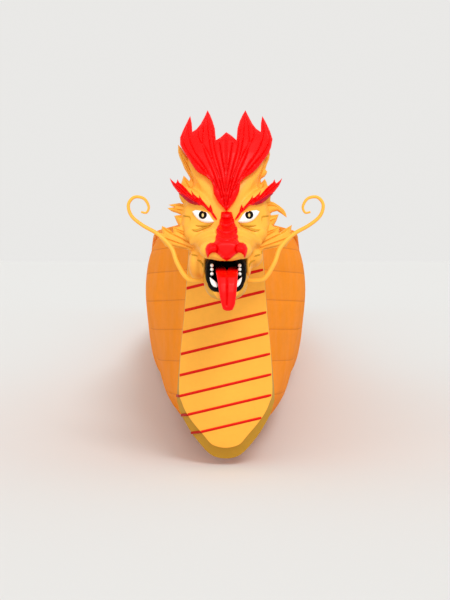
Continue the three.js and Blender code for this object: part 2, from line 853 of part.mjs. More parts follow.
// A flat upright fin on the centreline with a row of flames along its edge. foot is the fin's
// other edge, inside what carries it. Columns of flames: y and z of a valley, y and z of the tip
// that follows it. The last row is the valley that ends the fin.
function fin(foot, flames, thick) {
  const BEND = 0.22; // how far the edges of a flame bow, as a share of its length
  const outline = new THREE.Shape();
  const bow = ([y0, z0], [y1, z1], side) => {
    const [y, z] = [lerp(y0, y1, 0.5), lerp(z0, z1, 0.5)];
    outline.quadraticCurveTo(y - side * BEND * (z1 - z0), z + side * BEND * (y1 - y0), y1, z1);
  };
  outline.moveTo(...flames[0].slice(0, 2));
  flames.slice(0, -1).forEach(([y, z, tipY, tipZ], i) => {
    bow([y, z], [tipY, tipZ], 1);
    bow([tipY, tipZ], flames[i + 1].slice(0, 2), -1);
  });
  for (const [y, z] of foot) outline.lineTo(y, z);
  const plate = new THREE.ExtrudeGeometry(outline, {
    depth: thick,
    bevelEnabled: false,
    curveSegments: 4,
  });
  plate.translate(0, 0, -thick / 2);
  // the outline lies in the plane of Y and Z, and its thickness is along X
  plate.applyMatrix4(new THREE.Matrix4().makeBasis(vec(0, 1, 0), vec(0, 0, 1), vec(1, 0, 0)));
  return solidGeometry(plate);
}

function napeMane(...others) {
  const flames = [
    [-6330, 1130, -6230, 1232],
    [-6210, 1124, -6100, 1214],
    [-6085, 1086, -5970, 1172],
    [-5955, 1044, -5840, 1116],
    [-5840, 1002, -5720, 1058],
    [-5715, 956, -5610, 992],
    [-5610, 922],
  ];
  const foot = [[-5650, 900], [-5850, 950], [-6050, 1010], [-6330, 1060]];
  return seated(fin(foot, flames, 30), ...others);
}

// Drum with its stand, and the drummer's seat

function drumShell() {
  const profile = [[0, 0], [196, 0], [222, 60], [236, 140], [236, 230], [222, 310], [196, 370],
    [0, 370]];
  const lathe = new THREE.LatheGeometry(profile.map(([r, h]) => new THREE.Vector2(r, h)), 24);
  lathe.rotateX(Math.PI / 2);
  return solidGeometry(lathe);
}

function drumHead() {
  const profile = [[0, 0], [200, 0], [208, 3], [208, 10], [198, 14], [0, 14]];
  const lathe = new THREE.LatheGeometry(profile.map(([r, h]) => new THREE.Vector2(r, h)), 24);
  lathe.rotateX(Math.PI / 2);
  return solidGeometry(lathe);
}

// Four legs under a square frame with rails between them.
function trestle(halfX, halfY, height, leg, rail) {
  const parts = [];
  for (const x of [-1, 1]) {
    for (const y of [-1, 1]) {
      const [cx, cy] = [x * (halfX - leg / 2), y * (halfY - leg / 2)];
      parts.push(box(vec(cx - leg / 2, cy - leg / 2, 0), vec(cx + leg / 2, cy + leg / 2, height)));
    }
  }
  for (const [low, high] of [[height - rail, height], [height * 0.25, height * 0.25 + rail * 0.6]]) {
    for (const side of [-1, 1]) {
      const [x, y] = [side * (halfX - leg / 2), side * (halfY - leg / 2)];
      const thin = leg * 0.3;
      parts.push(box(vec(-halfX + 4, y - thin, low), vec(halfX - 4, y + thin, high)));
      parts.push(box(vec(x - thin, -halfY + 4, low), vec(x + thin, halfY - 4, high)));
    }
  }
  return joined(parts);
}

// Steering gear

// A beam across both gunwales, with the pin that the oarlock turns on. The frame of the gear has
// its origin at the pivot of the oar.
const BEAM = { outer: 34, width: 60, low: -136, high: -100 };
const PIN = { radius: 12, top: -62 };
const LOCK = { low: -99.4, base: -78, cheekIn: 32, cheekOut: 42, deep: 24 };
const TRUNNION = { radius: 8, clearance: 0.4 };

function oarBeam(...others) {
  const half = BEAM.width / 2;
  const farSide = -OAR_X - halfSection(OAR_S)[TOP][0] - CAP.outer;
  const beam = box(vec(farSide, -half, BEAM.low), vec(BEAM.outer, half, BEAM.high));
  const pin = rod(vec(0, 0, BEAM.high - 10), vec(0, 0, PIN.top), PIN.radius);
  return seated(beam.add(pin), ...others);
}

function oarlock() {
  const base = box(vec(-LOCK.cheekOut, -LOCK.deep, LOCK.low), vec(LOCK.cheekOut, LOCK.deep, LOCK.base));
  const hub = rod(vec(0, 0, LOCK.low), vec(0, 0, PIN.top + 6), PIN.radius + 9, 20);
  const cheeks = [-1, 1].map((side) => {
    const [a, b] = [side * LOCK.cheekIn, side * LOCK.cheekOut].sort((p, q) => p - q);
    const plate = box(vec(a, -LOCK.deep, LOCK.low), vec(b, LOCK.deep, 0));
    return plate.add(rod(vec(a, 0, 0), vec(b, 0, 0), LOCK.deep, 20));
  });
  const bore = rod(vec(0, 0, LOCK.low - 5), vec(0, 0, PIN.top + 0.6), PIN.radius + GAP);
  const eyes = rod(vec(-60, 0, 0), vec(60, 0, 0), TRUNNION.radius + TRUNNION.clearance, 16);
  return joined([base, hub, ...cheeks]).subtract(bore).subtract(eyes);
}

// The oar lies along its own Y axis: the blade is aft, and the grip is forward.
const OAR = { grip: -950, tip: 2150, shaft: 20, bladeFrom: 1450, bladeHalf: 92, bladeThick: 16 };

// The shaft with its collar, its cross pins and the T-shaped grip at its upper end.
function oarShaft() {
  const shaft = rod(vec(0, OAR.grip, 0), vec(0, OAR.bladeFrom + 120, 0), OAR.shaft, 14);
  const collar = rod(vec(0, -45, 0), vec(0, 45, 0), 27, 20);
  const pins = rod(vec(-LOCK.cheekOut + 1, 0, 0), vec(LOCK.cheekOut - 1, 0, 0), TRUNNION.radius, 16);
  const bar = rod(vec(-62, OAR.grip, 0), vec(62, OAR.grip, 0), 15, 14);
  const socket = rod(vec(0, OAR.grip, 0), vec(0, OAR.grip + 70, 0), 25, 14);
  return joined([shaft, collar, pins, bar, socket]);
}

function oarBlade(shaft) {
  const outline = new THREE.Shape();
  const half = OAR.bladeHalf;
  outline.moveTo(OAR.bladeFrom, -24);
  outline.bezierCurveTo(OAR.bladeFrom + 60, -30, OAR.bladeFrom + 70, -half, OAR.bladeFrom + 150, -half);
  outline.lineTo(OAR.tip, -half * 1.06);
  outline.lineTo(OAR.tip, half * 1.06);
  outline.lineTo(OAR.bladeFrom + 150, half);
  outline.bezierCurveTo(OAR.bladeFrom + 70, half, OAR.bladeFrom + 60, 30, OAR.bladeFrom, 24);
  const plate = new THREE.ExtrudeGeometry(outline, {
    depth: OAR.bladeThick,
    bevelEnabled: false,
    curveSegments: 6,
  });
  plate.translate(0, 0, -OAR.bladeThick / 2);
  // the outline's first axis is the shaft and its second axis is upright
  plate.applyMatrix4(new THREE.Matrix4().makeBasis(vec(0, 1, 0), vec(0, 0, 1), vec(1, 0, 0)));
  const socket = rod(vec(0, OAR.bladeFrom - 60, 0), vec(0, OAR.bladeFrom + 190, 0), 27, 14);
  return seated(solidGeometry(plate).add(socket), shaft);
}

// Tail, in the boat's frame

const TAIL_PATH = [
  [0, 5850, 740],
  [0, 5905, 900],
  [0, 6100, 1010],
  [0, 6330, 1110],
  [0, 6430, 1290],
  [0, 6370, 1470],
  [0, 6230, 1560],
];

const tail = (...others) => seated(taperedTube(TAIL_PATH, [80, 78, 68, 58, 46, 34, 12], 14, 10), ...others);

function tailFlames(stem) {
  const flames = [
    [6230, 1000, 6440, 990],
    [6400, 1085, 6610, 1130],
    [6490, 1210, 6690, 1330],
    [6500, 1350, 6650, 1540],
    [6450, 1470, 6540, 1690],
    [6350, 1560, 6380, 1770],
    [6260, 1600, 6180, 1760],
    [6200, 1590],
  ];
  const foot = [[6290, 1510], [6390, 1400], [6420, 1290], [6350, 1140], [6240, 1060]];
  return seated(fin(foot, flames, 34), stem);
}

// Scene graph

const boat = new THREE.Group();

function addMesh(parent, name, solid, colour, roughness = 0.35, metalness = 0) {
  const { numProp, numVert, vertProperties, triVerts } = solid.getMesh();
  const position = new Float32Array(numVert * 3);
  for (let i = 0; i < numVert; i++) {
    position.set(vertProperties.subarray(i * numProp, i * numProp + 3), i * 3);
  }
  const geometry = new THREE.BufferGeometry();
  geometry.setAttribute("position", new THREE.BufferAttribute(position, 3));
  geometry.setIndex(new THREE.BufferAttribute(new Uint32Array(triVerts), 1));
  geometry.computeVertexNormals();
  const material = new THREE.MeshStandardMaterial({ color: colour, roughness, metalness });
  const mesh = new THREE.Mesh(geometry, material);
  mesh.name = name;
  parent.add(mesh);
  return mesh;
}

function buildHull() {
  const plank = keelson();
  const inside = plank.add(benchRails());
  const sections = {};
  for (const section of SECTIONS) {
    const [name] = section;
    sections[name] = hullSection(section, inside);
    addMesh(boat, `hull_${name}`, sections[name], COLOURS.hull);
  }
  addMesh(boat, "bow_board", endBoard(0, -1), COLOURS.hull);
  addMesh(boat, "stern_board", endBoard(HULL_LENGTH, 1), COLOURS.hull);
  const foredeck = deck(FOREDECK);
  const afterdeck = deck(AFTERDECK);
  addMesh(boat, "foredeck", foredeck, COLOURS.hull);
  addMesh(boat, "afterdeck", afterdeck, COLOURS.hull);
  return { plank, foredeck, afterdeck, sections };
}

function buildInside({ plank }) {
  const room = cavity(GAP);
  for (let i = 0; i < BENCH_COUNT; i++) {
    const made = bench(FIRST_BENCH + i * BENCH_PITCH, plank, room);
    addMesh(boat, `bench_${i + 1}`, made, COLOURS.wood, 0.5);
  }
  addMesh(boat, "drummer_floor", flooring(DRUM_FLOOR), COLOURS.wood, 0.6);
  addMesh(boat, "helm_floor", flooring(HELM_FLOOR), COLOURS.wood, 0.6);
}

function buildChest() {
  addMesh(boat, "chest_board", chestBoard(), COLOURS.ochre);
  addMesh(boat, "chest_plate", chestPlate(), COLOURS.amber);
}

// Makes the port and starboard copies of a piece, each cut back from what it sits against.
function addPair(parent, name, piece, colour, around) {
  const made = { port: piece, starboard: mirrored(piece) };
  for (const side of Object.keys(made)) {
    made[side] = seated(made[side], ...around.map((other) => other[side] ?? other));
    addMesh(parent, `${name}_${side}`, made[side], colour);
  }
  return made;
}

function buildHead({ foredeck, sections }) {
  const head = new THREE.Group();
  head.position.copy(HEAD_PLACE);
  boat.add(head);
  const shell = headShell();
  const jaw = lowerJaw(shell);
  const lining = mouthLining(shell);
  const snout = nose(shell);
  const mane = crest(shell, snout);
  addMesh(head, "head_shell", shell, COLOURS.amber);
  addMesh(head, "lower_jaw", jaw, COLOURS.amber);
  addMesh(head, "mouth_lining", lining, COLOURS.black);
  addMesh(head, "tongue", tongue(shell, jaw, lining), COLOURS.red);
  addMesh(head, "nose", snout, COLOURS.red);
  addMesh(head, "crest", mane, COLOURS.red);
  const lids = addPair(head, "brow", brow(), COLOURS.red, [shell, mane, snout]);
  addPair(head, "eye", eye(), COLOURS.white, [shell, lids]);
  const ears = addPair(head, "ear", ear(), COLOURS.amber, [shell, mane, lids]);
  const frills = addPair(head, "cheek_frill", cheekFrill(), COLOURS.amber, [shell, jaw, ears]);
  addPair(head, "whisker", whisker(), COLOURS.amber, [shell, jaw, lining, frills]);
  const inBoat = (solid) => moved(solid, HEAD_PLACE);
  const throat = neck(foredeck, sections.bow, inBoat(shell), inBoat(mane));
  addMesh(boat, "neck", throat, COLOURS.amber);
  const ridge = napeMane(throat, inBoat(shell), inBoat(mane), foredeck);
  addMesh(boat, "nape_mane", ridge, COLOURS.red);
}

function buildDrum() {
  const drum = new THREE.Group();
  const standHeight = 230;
  drum.position.set(0, BOW_Y + DRUM_S, DRUM_FLOOR.high + GAP);
  boat.add(drum);
  addMesh(drum, "drum_stand", trestle(190, 190, standHeight, 40, 46), COLOURS.wood, 0.5);
  const shell = addMesh(drum, "drum_shell", drumShell(), COLOURS.red);
  shell.position.z = standHeight + GAP;
  const skin = addMesh(drum, "drum_head", drumHead(), COLOURS.skin, 0.6);
  skin.position.z = shell.position.z + 370 + GAP;
}

function buildSeat() {
  const seat = new THREE.Group();
  const height = 430;
  seat.position.set(0, BOW_Y + SEAT_S, DRUM_FLOOR.high + GAP);
  boat.add(seat);
  addMesh(seat, "drummer_seat_frame", trestle(160, 140, height, 36, 40), COLOURS.wood, 0.5);
  const board = box(vec(-185, -155, height + GAP), vec(185, 155, height + 30));
  addMesh(seat, "drummer_seat", board, COLOURS.wood, 0.5);
}

function buildStern({ afterdeck, sections }) {
  const stem = tail(afterdeck);
  addMesh(boat, "tail", stem, COLOURS.amber);
  addMesh(boat, "tail_flames", tailFlames(stem), COLOURS.red);
  const gear = new THREE.Group();
  const capTop = sheerAt(OAR_S) + GAP + CAP.thick;
  gear.position.set(OAR_X, BOW_Y + OAR_S, capTop - BEAM.low - 3);
  boat.add(gear);
  const inGear = (solid) => moved(solid, gear.position.clone().negate());
  addMesh(gear, "oar_beam", oarBeam(inGear(sections.stern)), COLOURS.steel, 0.4, 1);
  addMesh(gear, "oarlock", oarlock(), COLOURS.steel, 0.4, 1);
  const oar = new THREE.Group();
  oar.rotation.x = OAR_TILT;
  gear.add(oar);
  const shaft = oarShaft();
  addMesh(oar, "oar_shaft", shaft, COLOURS.wood, 0.5);
  addMesh(oar, "oar_blade", oarBlade(shaft), COLOURS.wood, 0.5);
}

const hull = buildHull();
buildInside(hull);
buildChest();
buildHead(hull);
buildDrum();
buildSeat();
buildStern(hull);

export default boat;
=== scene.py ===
"""The dragon boat: painted hull and boards, carved figurehead, wooden fittings, drum, steering gear.

Lengths are millimetres in the boat's frame, and turn into metres when a mesh is made. Outlines on
the figurehead are pixels of the photograph, which the camera carries back to their depth.
"""

import math

import bmesh
import bpy
import numpy as np
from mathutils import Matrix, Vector
from mathutils.bvhtree import BVHTree
from mathutils.geometry import delaunay_2d_cdt


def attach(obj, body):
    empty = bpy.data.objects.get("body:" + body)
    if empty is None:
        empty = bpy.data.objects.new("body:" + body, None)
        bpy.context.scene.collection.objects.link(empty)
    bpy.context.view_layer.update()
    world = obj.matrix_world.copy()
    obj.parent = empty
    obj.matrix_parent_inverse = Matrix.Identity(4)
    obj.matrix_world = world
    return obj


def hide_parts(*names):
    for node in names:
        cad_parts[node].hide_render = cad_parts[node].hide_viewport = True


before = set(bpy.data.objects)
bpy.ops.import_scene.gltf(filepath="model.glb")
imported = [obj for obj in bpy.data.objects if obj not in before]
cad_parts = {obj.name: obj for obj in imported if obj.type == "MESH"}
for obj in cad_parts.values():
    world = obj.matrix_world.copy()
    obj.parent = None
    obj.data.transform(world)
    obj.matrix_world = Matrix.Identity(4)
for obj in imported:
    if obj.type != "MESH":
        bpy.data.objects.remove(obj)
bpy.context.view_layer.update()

MM = 0.001
GAP = 0.3  # between pieces that touch
FULL_TURN = 2 * math.pi
chance = np.random.default_rng(12)

# Camera, as the photograph was taken: place, tilt in degrees, pixels per unit of slope, the
# picture's height, and the pixel that it looks level at
CAMERA = (-2.7, -11245.0, 840.0)
CAMERA_TILT = 2.276
FOCAL = 1384.0
FRAME_HIGH = 600
MIDDLE = (225.0, 245.0)
# The pixel column that the face is mirrored about
FACE_MIDDLE = 226.0

# Materials


def srgb(red, green, blue):
    """Linear colour of an sRGB one."""
    values = [c / 255 for c in (red, green, blue)]
    return [c / 12.92 if c <= 0.04045 else ((c + 0.055) / 1.055) ** 2.4 for c in values] + [1.0]


def toned(colour, by):
    return [c * by for c in colour[:3]] + [1.0]


class Shader:
    """A material under construction: its tree, its coordinates, and short ways to add nodes."""

    def __init__(self, name, **inputs):
        self.material = bpy.data.materials.new(name)
        self.material.use_nodes = True
        self.tree = self.material.node_tree
        self.base = self.fill(self.tree.nodes["Principled BSDF"], **inputs)
        self.place = self.add("TexCoord").outputs["Object"]

    def give(self, socket, value):
        """A number or a colour for a socket, or the output that it follows."""
        if isinstance(value, bpy.types.NodeSocket):
            self.tree.links.new(value, socket)
        else:
            socket.default_value = value

    def fill(self, node, **inputs):
        """Values for a node's inputs, by name with _ for each space."""
        for key, value in inputs.items():
            self.give(node.inputs[key.replace("_", " ")], value)
        return node

    def add(self, kind, **inputs):
        return self.fill(self.tree.nodes.new("ShaderNode" + kind), **inputs)

    def noise(self, scale, detail, stretch=None, distortion=0.0):
        place = self.place
        if stretch:
            place = self.add("Mapping", Vector=place, Scale=stretch).outputs["Vector"]
        node = self.add("TexNoise", Vector=place, Scale=scale, Detail=detail, Distortion=distortion)
        return node.outputs["Fac"]

    def range(self, value, low, high, start=0.3, end=0.7):
        """A value that runs from low to high while the input runs from start to end."""
        node = self.add("MapRange", Value=value, From_Min=start, From_Max=end, To_Min=low, To_Max=high)
        return node.outputs["Result"]

    def mix(self, share, first, second):
        """A colour between two. The node has several sockets of each name, so it goes by number."""
        node = self.add("Mix")
        node.data_type = "RGBA"
        for number, value in ((0, share), (6, first), (7, second)):
            self.give(node.inputs[number], value)
        return node.outputs[2]

    def shade(self):
        """How dark the mesh says a point is: painted shade in hollows, or the tone of boards and seams.
        """
        node = self.add("Attribute")
        node.attribute_name = "shade"
        return node.outputs["Fac"]

    def bumps(self, *layers):
        """Layers of bump: height, distance in metres, strength."""
        normal = {}
        for height, distance, strength in layers:
            bump = self.add("Bump", Height=height, Distance=distance, Strength=strength, **normal)
            normal = {"Normal": bump.outputs["Normal"]}
        self.fill(self.base, **normal)

    def done(self, colour, roughness):
        self.fill(self.base, Base_Color=colour, Roughness=roughness)
        return self.material


def paint(name, colour, shaded, roughness=0.44, coat=0.03, grain=0.5, level=0.14):
    """Brushed gloss paint over carved or planked wood, with the mesh's painted shade and board tones."""
    s = Shader(name, Coat_Weight=coat, Coat_Roughness=0.2, Specular_IOR_Level=level)
    cloud = s.range(s.noise(2.2, 5, distortion=0.4), 0, 1)
    streak = s.range(s.noise(1.0, 6, stretch=(60, 7, 60)), 0, 0.35, 0.35, 0.75)
    wear = s.range(s.noise(9, 8), 0, 1)
    body = s.mix(cloud, toned(colour, 0.93), toned(colour, 1.03))
    body = s.mix(streak, body, toned(colour, 0.86))
    body = s.mix(s.shade(), body, shaded)
    s.bumps((s.noise(16, 4), 0.004, 0.1 * grain), (s.noise(240, 3), 0.0006, 0.3 * grain))
    return s.done(body, s.range(wear, roughness - 0.07, roughness + 0.12, 0, 1))


def wood(name, pale, dark, along, roughness=0.46, coat=0.1):
    """Varnished boards with the grain along one axis: 0 across the boat, 1 along it, 2 upright."""
    s = Shader(name, Coat_Weight=coat, Coat_Roughness=0.22)
    rings_at, fibre_at = ([value] * 3 for value in (22.0, 150.0))
    rings_at[along], fibre_at[along] = 0.5, 3.0
    rings = s.noise(2.4, 5, stretch=rings_at, distortion=0.7)
    fibre = s.noise(2.0, 4, stretch=fibre_at)
    patch = s.range(s.noise(1.1, 3), 0, 0.3)
    body = s.mix(s.range(rings, 0, 0.85, 0.34, 0.7), pale, dark)
    body = s.mix(s.range(fibre, 0, 0.35, 0.42, 0.74), body, toned(dark, 0.72))
    body = s.mix(patch, body, toned(pale, 0.8))
    body = s.mix(s.shade(), body, toned(dark, 0.35))
    s.bumps((rings, 0.0015, 0.12), (fibre, 0.0007, 0.35))
    return s.done(body, s.range(fibre, roughness - 0.06, roughness + 0.12))


def steel(name, colour):
    s = Shader(name, Metallic=1.0)
    brush = s.noise(3.0, 5, stretch=(8, 160, 160))
    body = s.mix(s.range(s.noise(14, 5), 0, 1), toned(colour, 0.8), toned(colour, 1.08))
    body = s.mix(s.shade(), body, toned(colour, 0.4))
    s.bumps((brush, 0.0004, 0.25), (s.noise(60, 4), 0.0006, 0.1))
    return s.done(body, s.range(brush, 0.28, 0.5))


def hide(name):
    """Stretched cowhide: mottled cream, with fine pores."""
    s = Shader(name, Coat_Weight=0.1, Coat_Roughness=0.15)
    veins = s.noise(7, 8, distortion=1.6)
    body = s.mix(s.range(veins, 0, 1, 0.35, 0.65), srgb(233, 219, 188), srgb(214, 190, 148))
    body = s.mix(s.range(s.noise(40, 4), 0, 0.3), body, srgb(190, 160, 115))
    body = s.mix(s.shade(), body, srgb(150, 112, 70))
    s.bumps((veins, 0.0012, 0.15), (s.noise(320, 3), 0.0004, 0.3))
    return s.done(body, s.range(veins, 0.5, 0.64))


AMBER = srgb(251, 176, 64)
RED, DARK_RED = srgb(250, 0, 0), srgb(176, 0, 4)
WOODS = srgb(222, 190, 146), srgb(190, 150, 102)
LINING_WOODS = srgb(206, 168, 120), srgb(170, 126, 80)

# Paints: colour, the darker one of painted shade in grooves and of seams, roughness, coat, grain of the
# surface
FINISH = {
    "hull_paint": paint("hull_gloss", srgb(250, 142, 6), srgb(190, 98, 8), 0.6, 0.0, level=0.03),
    "head_amber": paint("head_gloss", AMBER, srgb(204, 146, 40), 0.44, 0.05),
    "chest_amber": paint("chest_gloss", AMBER, srgb(205, 138, 40), 0.46, 0.04),
    # The board's sides in ochre: a painted shade of the panel's amber
    "chest_ochre": paint("chest_edge", srgb(192, 142, 38), srgb(140, 92, 26), 0.5, 0.04),
    "dragon_red": paint("red_gloss", RED, DARK_RED, 0.42, 0.04),
    "tongue_red": paint("tongue_gloss", RED, DARK_RED, 0.38, 0.06),
    "mouth_black": paint("mouth_dark", srgb(8, 6, 6), srgb(4, 4, 4), 0.7, 0.0, level=0.08),
    "eye_white": paint("eye_enamel", srgb(250, 250, 246), srgb(210, 205, 190), 0.25, 0.3, 0.2),
    "pale_wood": wood("cross_wood", *WOODS, 0),
    "drum_red": paint("drum_lacquer", srgb(206, 14, 10), srgb(110, 4, 6), 0.28, 0.35, 0.3),
    "drum_skin": hide("cowhide"),
    "dull_steel": steel("brushed_steel", srgb(172, 176, 180)),
}
LONG_WOOD = wood("long_wood", *WOODS, 1)
UPRIGHT_WOOD = wood("upright_wood", *WOODS, 2)
LINING_WOOD = wood("lining_wood", *LINING_WOODS, 1, 0.5)
GOLD_EYE = paint("gold_eye", srgb(214, 190, 120), srgb(150, 110, 40), 0.25, 0.5, 0.2)
# Ochre of the wrinkles and creases: painted shade of the folds
WRINKLE = paint("wrinkle", srgb(198, 142, 34), srgb(150, 100, 30))
# Red in painted shade, for the stripes' ends on the board's sides
RED_IN_SHADE = paint("red_in_shade", srgb(176, 26, 4), srgb(120, 16, 6))
BROW_SHADE = paint("brow_shade", srgb(186, 12, 44), srgb(150, 10, 40))
BRASS = steel("brass", srgb(214, 170, 80))

# Meshes: a part is its points and its faces


def new_mesh(name, points, faces):
    mesh = bpy.data.meshes.new(name)
    mesh.from_pydata([tuple(p) for p in points], [], [tuple(map(int, f)) for f in faces])
    return mesh


def new_object(name, data):
    made = bpy.data.objects.new(name, data)
    bpy.context.scene.collection.objects.link(made)
    return made


def weld(mesh, within, thin=0.0):
    """Joins points that coincide, drops faces that are too thin, and turns the others out."""
    bm = bmesh.new()
    bm.from_mesh(mesh)
    bmesh.ops.remove_doubles(bm, verts=bm.verts, dist=within)
    if thin:
        bmesh.ops.dissolve_degenerate(bm, edges=bm.edges, dist=thin)
    bmesh.ops.recalc_face_normals(bm, faces=bm.faces)
    bm.to_mesh(mesh)
    bm.free()


def piece(name, part, slot, body="hull", replaces=None, shade=None, material=None, sharp=40):
    """A mesh in the scene that rides on a body, closed up and facing out."""
    mesh = new_mesh(name, np.asarray(part[0], float) * MM, part[1])
    if shade is not None:
        values = mesh.attributes.new("shade", "FLOAT", "POINT").data
        values.foreach_set("value", np.asarray(shade, np.float32))
    weld(mesh, 2e-6, 1e-7)
    mesh.shade_smooth()
    mesh.set_sharp_from_angle(angle=math.radians(sharp))
    mesh.materials.append(material or FINISH[slot])
    made = new_object(name, mesh)
    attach(made, body)
    if replaces:
        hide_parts(replaces)


def board_tones(parts, most=0.28):
    """A tone of its own for each board of several."""
    return np.concatenate([np.full(len(part[0]), chance.random() * most) for part in parts])


def together(parts):
    points, faces = [], []
    for p, f in parts:
        start = sum(len(q) for q in points)
        points.append(np.asarray(p, float))
        faces += [tuple(i + start for i in face) for face in f]
    return np.vstack(points), faces


def mirrored(part):
    return np.asarray(part[0]) * [-1, 1, 1], [tuple(reversed(f)) for f in part[1]]


def both(parts):
    return [p for part in parts for p in (part, mirrored(part))]


def loft(rings, capped=True):
    """A tube through rings of equally many points, with flat ends."""
    rings = np.asarray(rings, float)
    count, n = rings.shape[:2]
    faces = []
    for i in range(count - 1):
        for j in range(n):
            k = (j + 1) % n
            faces.append((i * n + j, i * n + k, (i + 1) * n + k, (i + 1) * n + j))
    if capped:
        faces.append(tuple(range(n))[::-1])
        faces.append(tuple((count - 1) * n + j for j in range(n)))
    return rings.reshape(-1, 3), faces


def smooth(t, rows, at):
    """Values at places on a smooth curve through rows that stand at places t."""
    t, rows = np.asarray(t, float), np.asarray(rows, float)
    at = np.atleast_1d(np.asarray(at, float))
    more = (slice(None),) + (None,) * (rows.ndim - 1)
    slope = np.empty_like(rows)
    slope[1:-1] = (rows[2:] - rows[:-2]) / (t[2:] - t[:-2])[more]
    slope[0] = (rows[1] - rows[0]) / (t[1] - t[0])
    slope[-1] = (rows[-1] - rows[-2]) / (t[-1] - t[-2])
    i = np.clip(np.searchsorted(t, at, side="right") - 1, 0, len(t) - 2)
    span = (t[i + 1] - t[i])[more]
    u = (at - t[i])[more] / span
    return (
        rows[i] * (2 * u**3 - 3 * u**2 + 1)
        + slope[i] * span * (u**3 - 2 * u**2 + u)
        + rows[i + 1] * (3 * u**2 - 2 * u**3)
        + slope[i + 1] * span * (u**3 - u**2)
    )


def smooth_rows(rows, count):
    """So many rows on a smooth curve through rows at even steps."""
    return smooth(np.arange(len(rows)), rows, np.linspace(0, len(rows) - 1, count))


def lengths(points):
    """How far along a polyline each of its points is."""
    return np.r_[0, np.cumsum(np.linalg.norm(np.diff(points, axis=0), axis=1))]


def unit(ways):
    return ways / np.maximum(np.linalg.norm(ways, axis=1), 1e-9)[:, None]


def directions(points):
    """Unit steps along a polyline."""
    return unit(np.gradient(points, axis=0))


def left_of(way):
    return np.column_stack([-way[:, 1], way[:, 0]])


def curve(points, count):
    """Evenly spaced points on a smooth curve through points."""
    points = np.asarray(points, float)
    rough = smooth(lengths(points), points, np.linspace(0, lengths(points)[-1], 400))
    t = lengths(rough)
    at = np.linspace(0, t[-1], count)
    return np.column_stack([np.interp(at, t, rough[:, k]) for k in range(rough.shape[1])])


def circle(radius, sides=16, squash=1.0):
    a = np.linspace(0, FULL_TURN, sides, endpoint=False)
    return np.column_stack([np.cos(a) * radius, np.sin(a) * radius * squash])


def sweep(path, ring_of):
    """A tube along a path. ring_of gives the ring's offsets from the share of the way."""
    path = np.asarray(path, float)
    tangent = directions(path)
    side = np.cross(tangent[0], [0.0, 0.0, 1.0])
    if np.linalg.norm(side) < 0.1:
        side = np.array([1.0, 0, 0])
    rings = []
    for i, centre in enumerate(path):
        side = side - tangent[i] * (side @ tangent[i])
        side /= np.linalg.norm(side)
        offsets = np.asarray(ring_of(i / (len(path) - 1)), float)
        rings.append(centre + offsets[:, :1] * side + offsets[:, 1:] * np.cross(side, tangent[i]))
    return loft(rings)


def tube(points, radii, count, sides=14):
    """A round tube along a smooth curve, with radii at even steps along it."""
    places = np.linspace(0, 1, len(radii))
    radius = lambda t: max(0.4, float(smooth(places, radii, t)[0]))
    return sweep(curve(points, count), lambda t: circle(radius(t), sides))


def lathe(profile, sides=72, centre=(0, 0, 0), ripple=None):
    """A turned solid about an upright axis. The profile starts and ends on the axis."""
    a = np.linspace(0, FULL_TURN, sides, endpoint=False)
    rings = []
    for r, z in profile:
        swollen = r + (ripple(a, z) if ripple and r else 0)
        rings.append(np.column_stack([np.cos(a) * swollen, np.sin(a) * swollen, np.full(sides, z)]))
    points, faces = loft(rings, capped=False)
    return points + np.asarray(centre, float), faces


def ball(centre, radii, rings=16, sides=24, turn=0.0, tip=0.0):
    """An ellipsoid, tipped about X and then turned about the upright axis, in radians."""
    profile = [(math.sin(a), -math.cos(a)) for a in np.linspace(0, math.pi, rings)]
    points, faces = lathe(profile, sides)
    c, s = math.cos(tip), math.sin(tip)
    points = points * radii @ np.array([[1, 0, 0], [0, c, s], [0, -s, c]])
    c, s = math.cos(turn), math.sin(turn)
    return points @ np.array([[c, s, 0], [-s, c, 0], [0, 0, 1]]) + centre, faces


def bevelled(bm, edges, by):
    """The mesh with round edges, as a part."""
    shape = {"offset": by, "segments": 2, "profile": 0.6, "clamp_overlap": True}
    bmesh.ops.bevel(bm, geom=edges, affect="EDGES", **shape)
    bm.verts.ensure_lookup_table()
    bm.verts.index_update()
    part = [v.co.copy() for v in bm.verts], [tuple(v.index for v in f.verts) for f in bm.faces]
    bm.free()
    return part


def block(low, high, round_by=2.0):
    """A box with rounded edges."""
    bm = bmesh.new()
    bmesh.ops.create_cube(bm, size=1)
    low, high = np.asarray(low, float), np.asarray(high, float)
    for v in bm.verts:
        v.co = Vector((low + high) / 2 + np.array(v.co) * (high - low))
    return bevelled(bm, bm.edges[:], round_by)


def cad_part(node):
    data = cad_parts[node].data
    return np.array([v.co for v in data.vertices]) / MM, [tuple(p.vertices) for p in data.polygons]


def eased(node, slot, round_by, body="hull", material=None):
    """A piece that stands for a CAD node and has its shape with rounded edges."""
    mesh = new_mesh("work", *cad_part(node))
    bm = bmesh.new()
    bm.from_mesh(mesh)
    bpy.data.meshes.remove(mesh)
    bmesh.ops.remove_doubles(bm, verts=bm.verts, dist=0.05)
    bmesh.ops.dissolve_limit(bm, angle_limit=math.radians(1.5), verts=bm.verts, edges=bm.edges)
    corner = math.radians(35)
    edges = [e for e in bm.edges if len(e.link_faces) == 2 and e.calc_face_angle(0) > corner]
    part = bevelled(bm, edges, round_by)
    piece(f"{node}_eased", part, slot, body, node, material=material, sharp=50)


def largest(points, faces):
    """The shell with the most points, without the crumbs that a cut leaves."""
    root = list(range(len(points)))

    def find(i):
        while root[i] != i:
            root[i] = root[root[i]]
            i = root[i]
        return i

    for f in faces:
        for i in f[1:]:
            root[find(i)] = find(f[0])
    shell = np.array([find(i) for i in range(len(points))])
    kept = shell == np.bincount(shell).argmax()
    number = np.cumsum(kept) - 1
    return np.array(points)[kept], [tuple(int(number[i]) for i in f) for f in faces if kept[f[0]]]


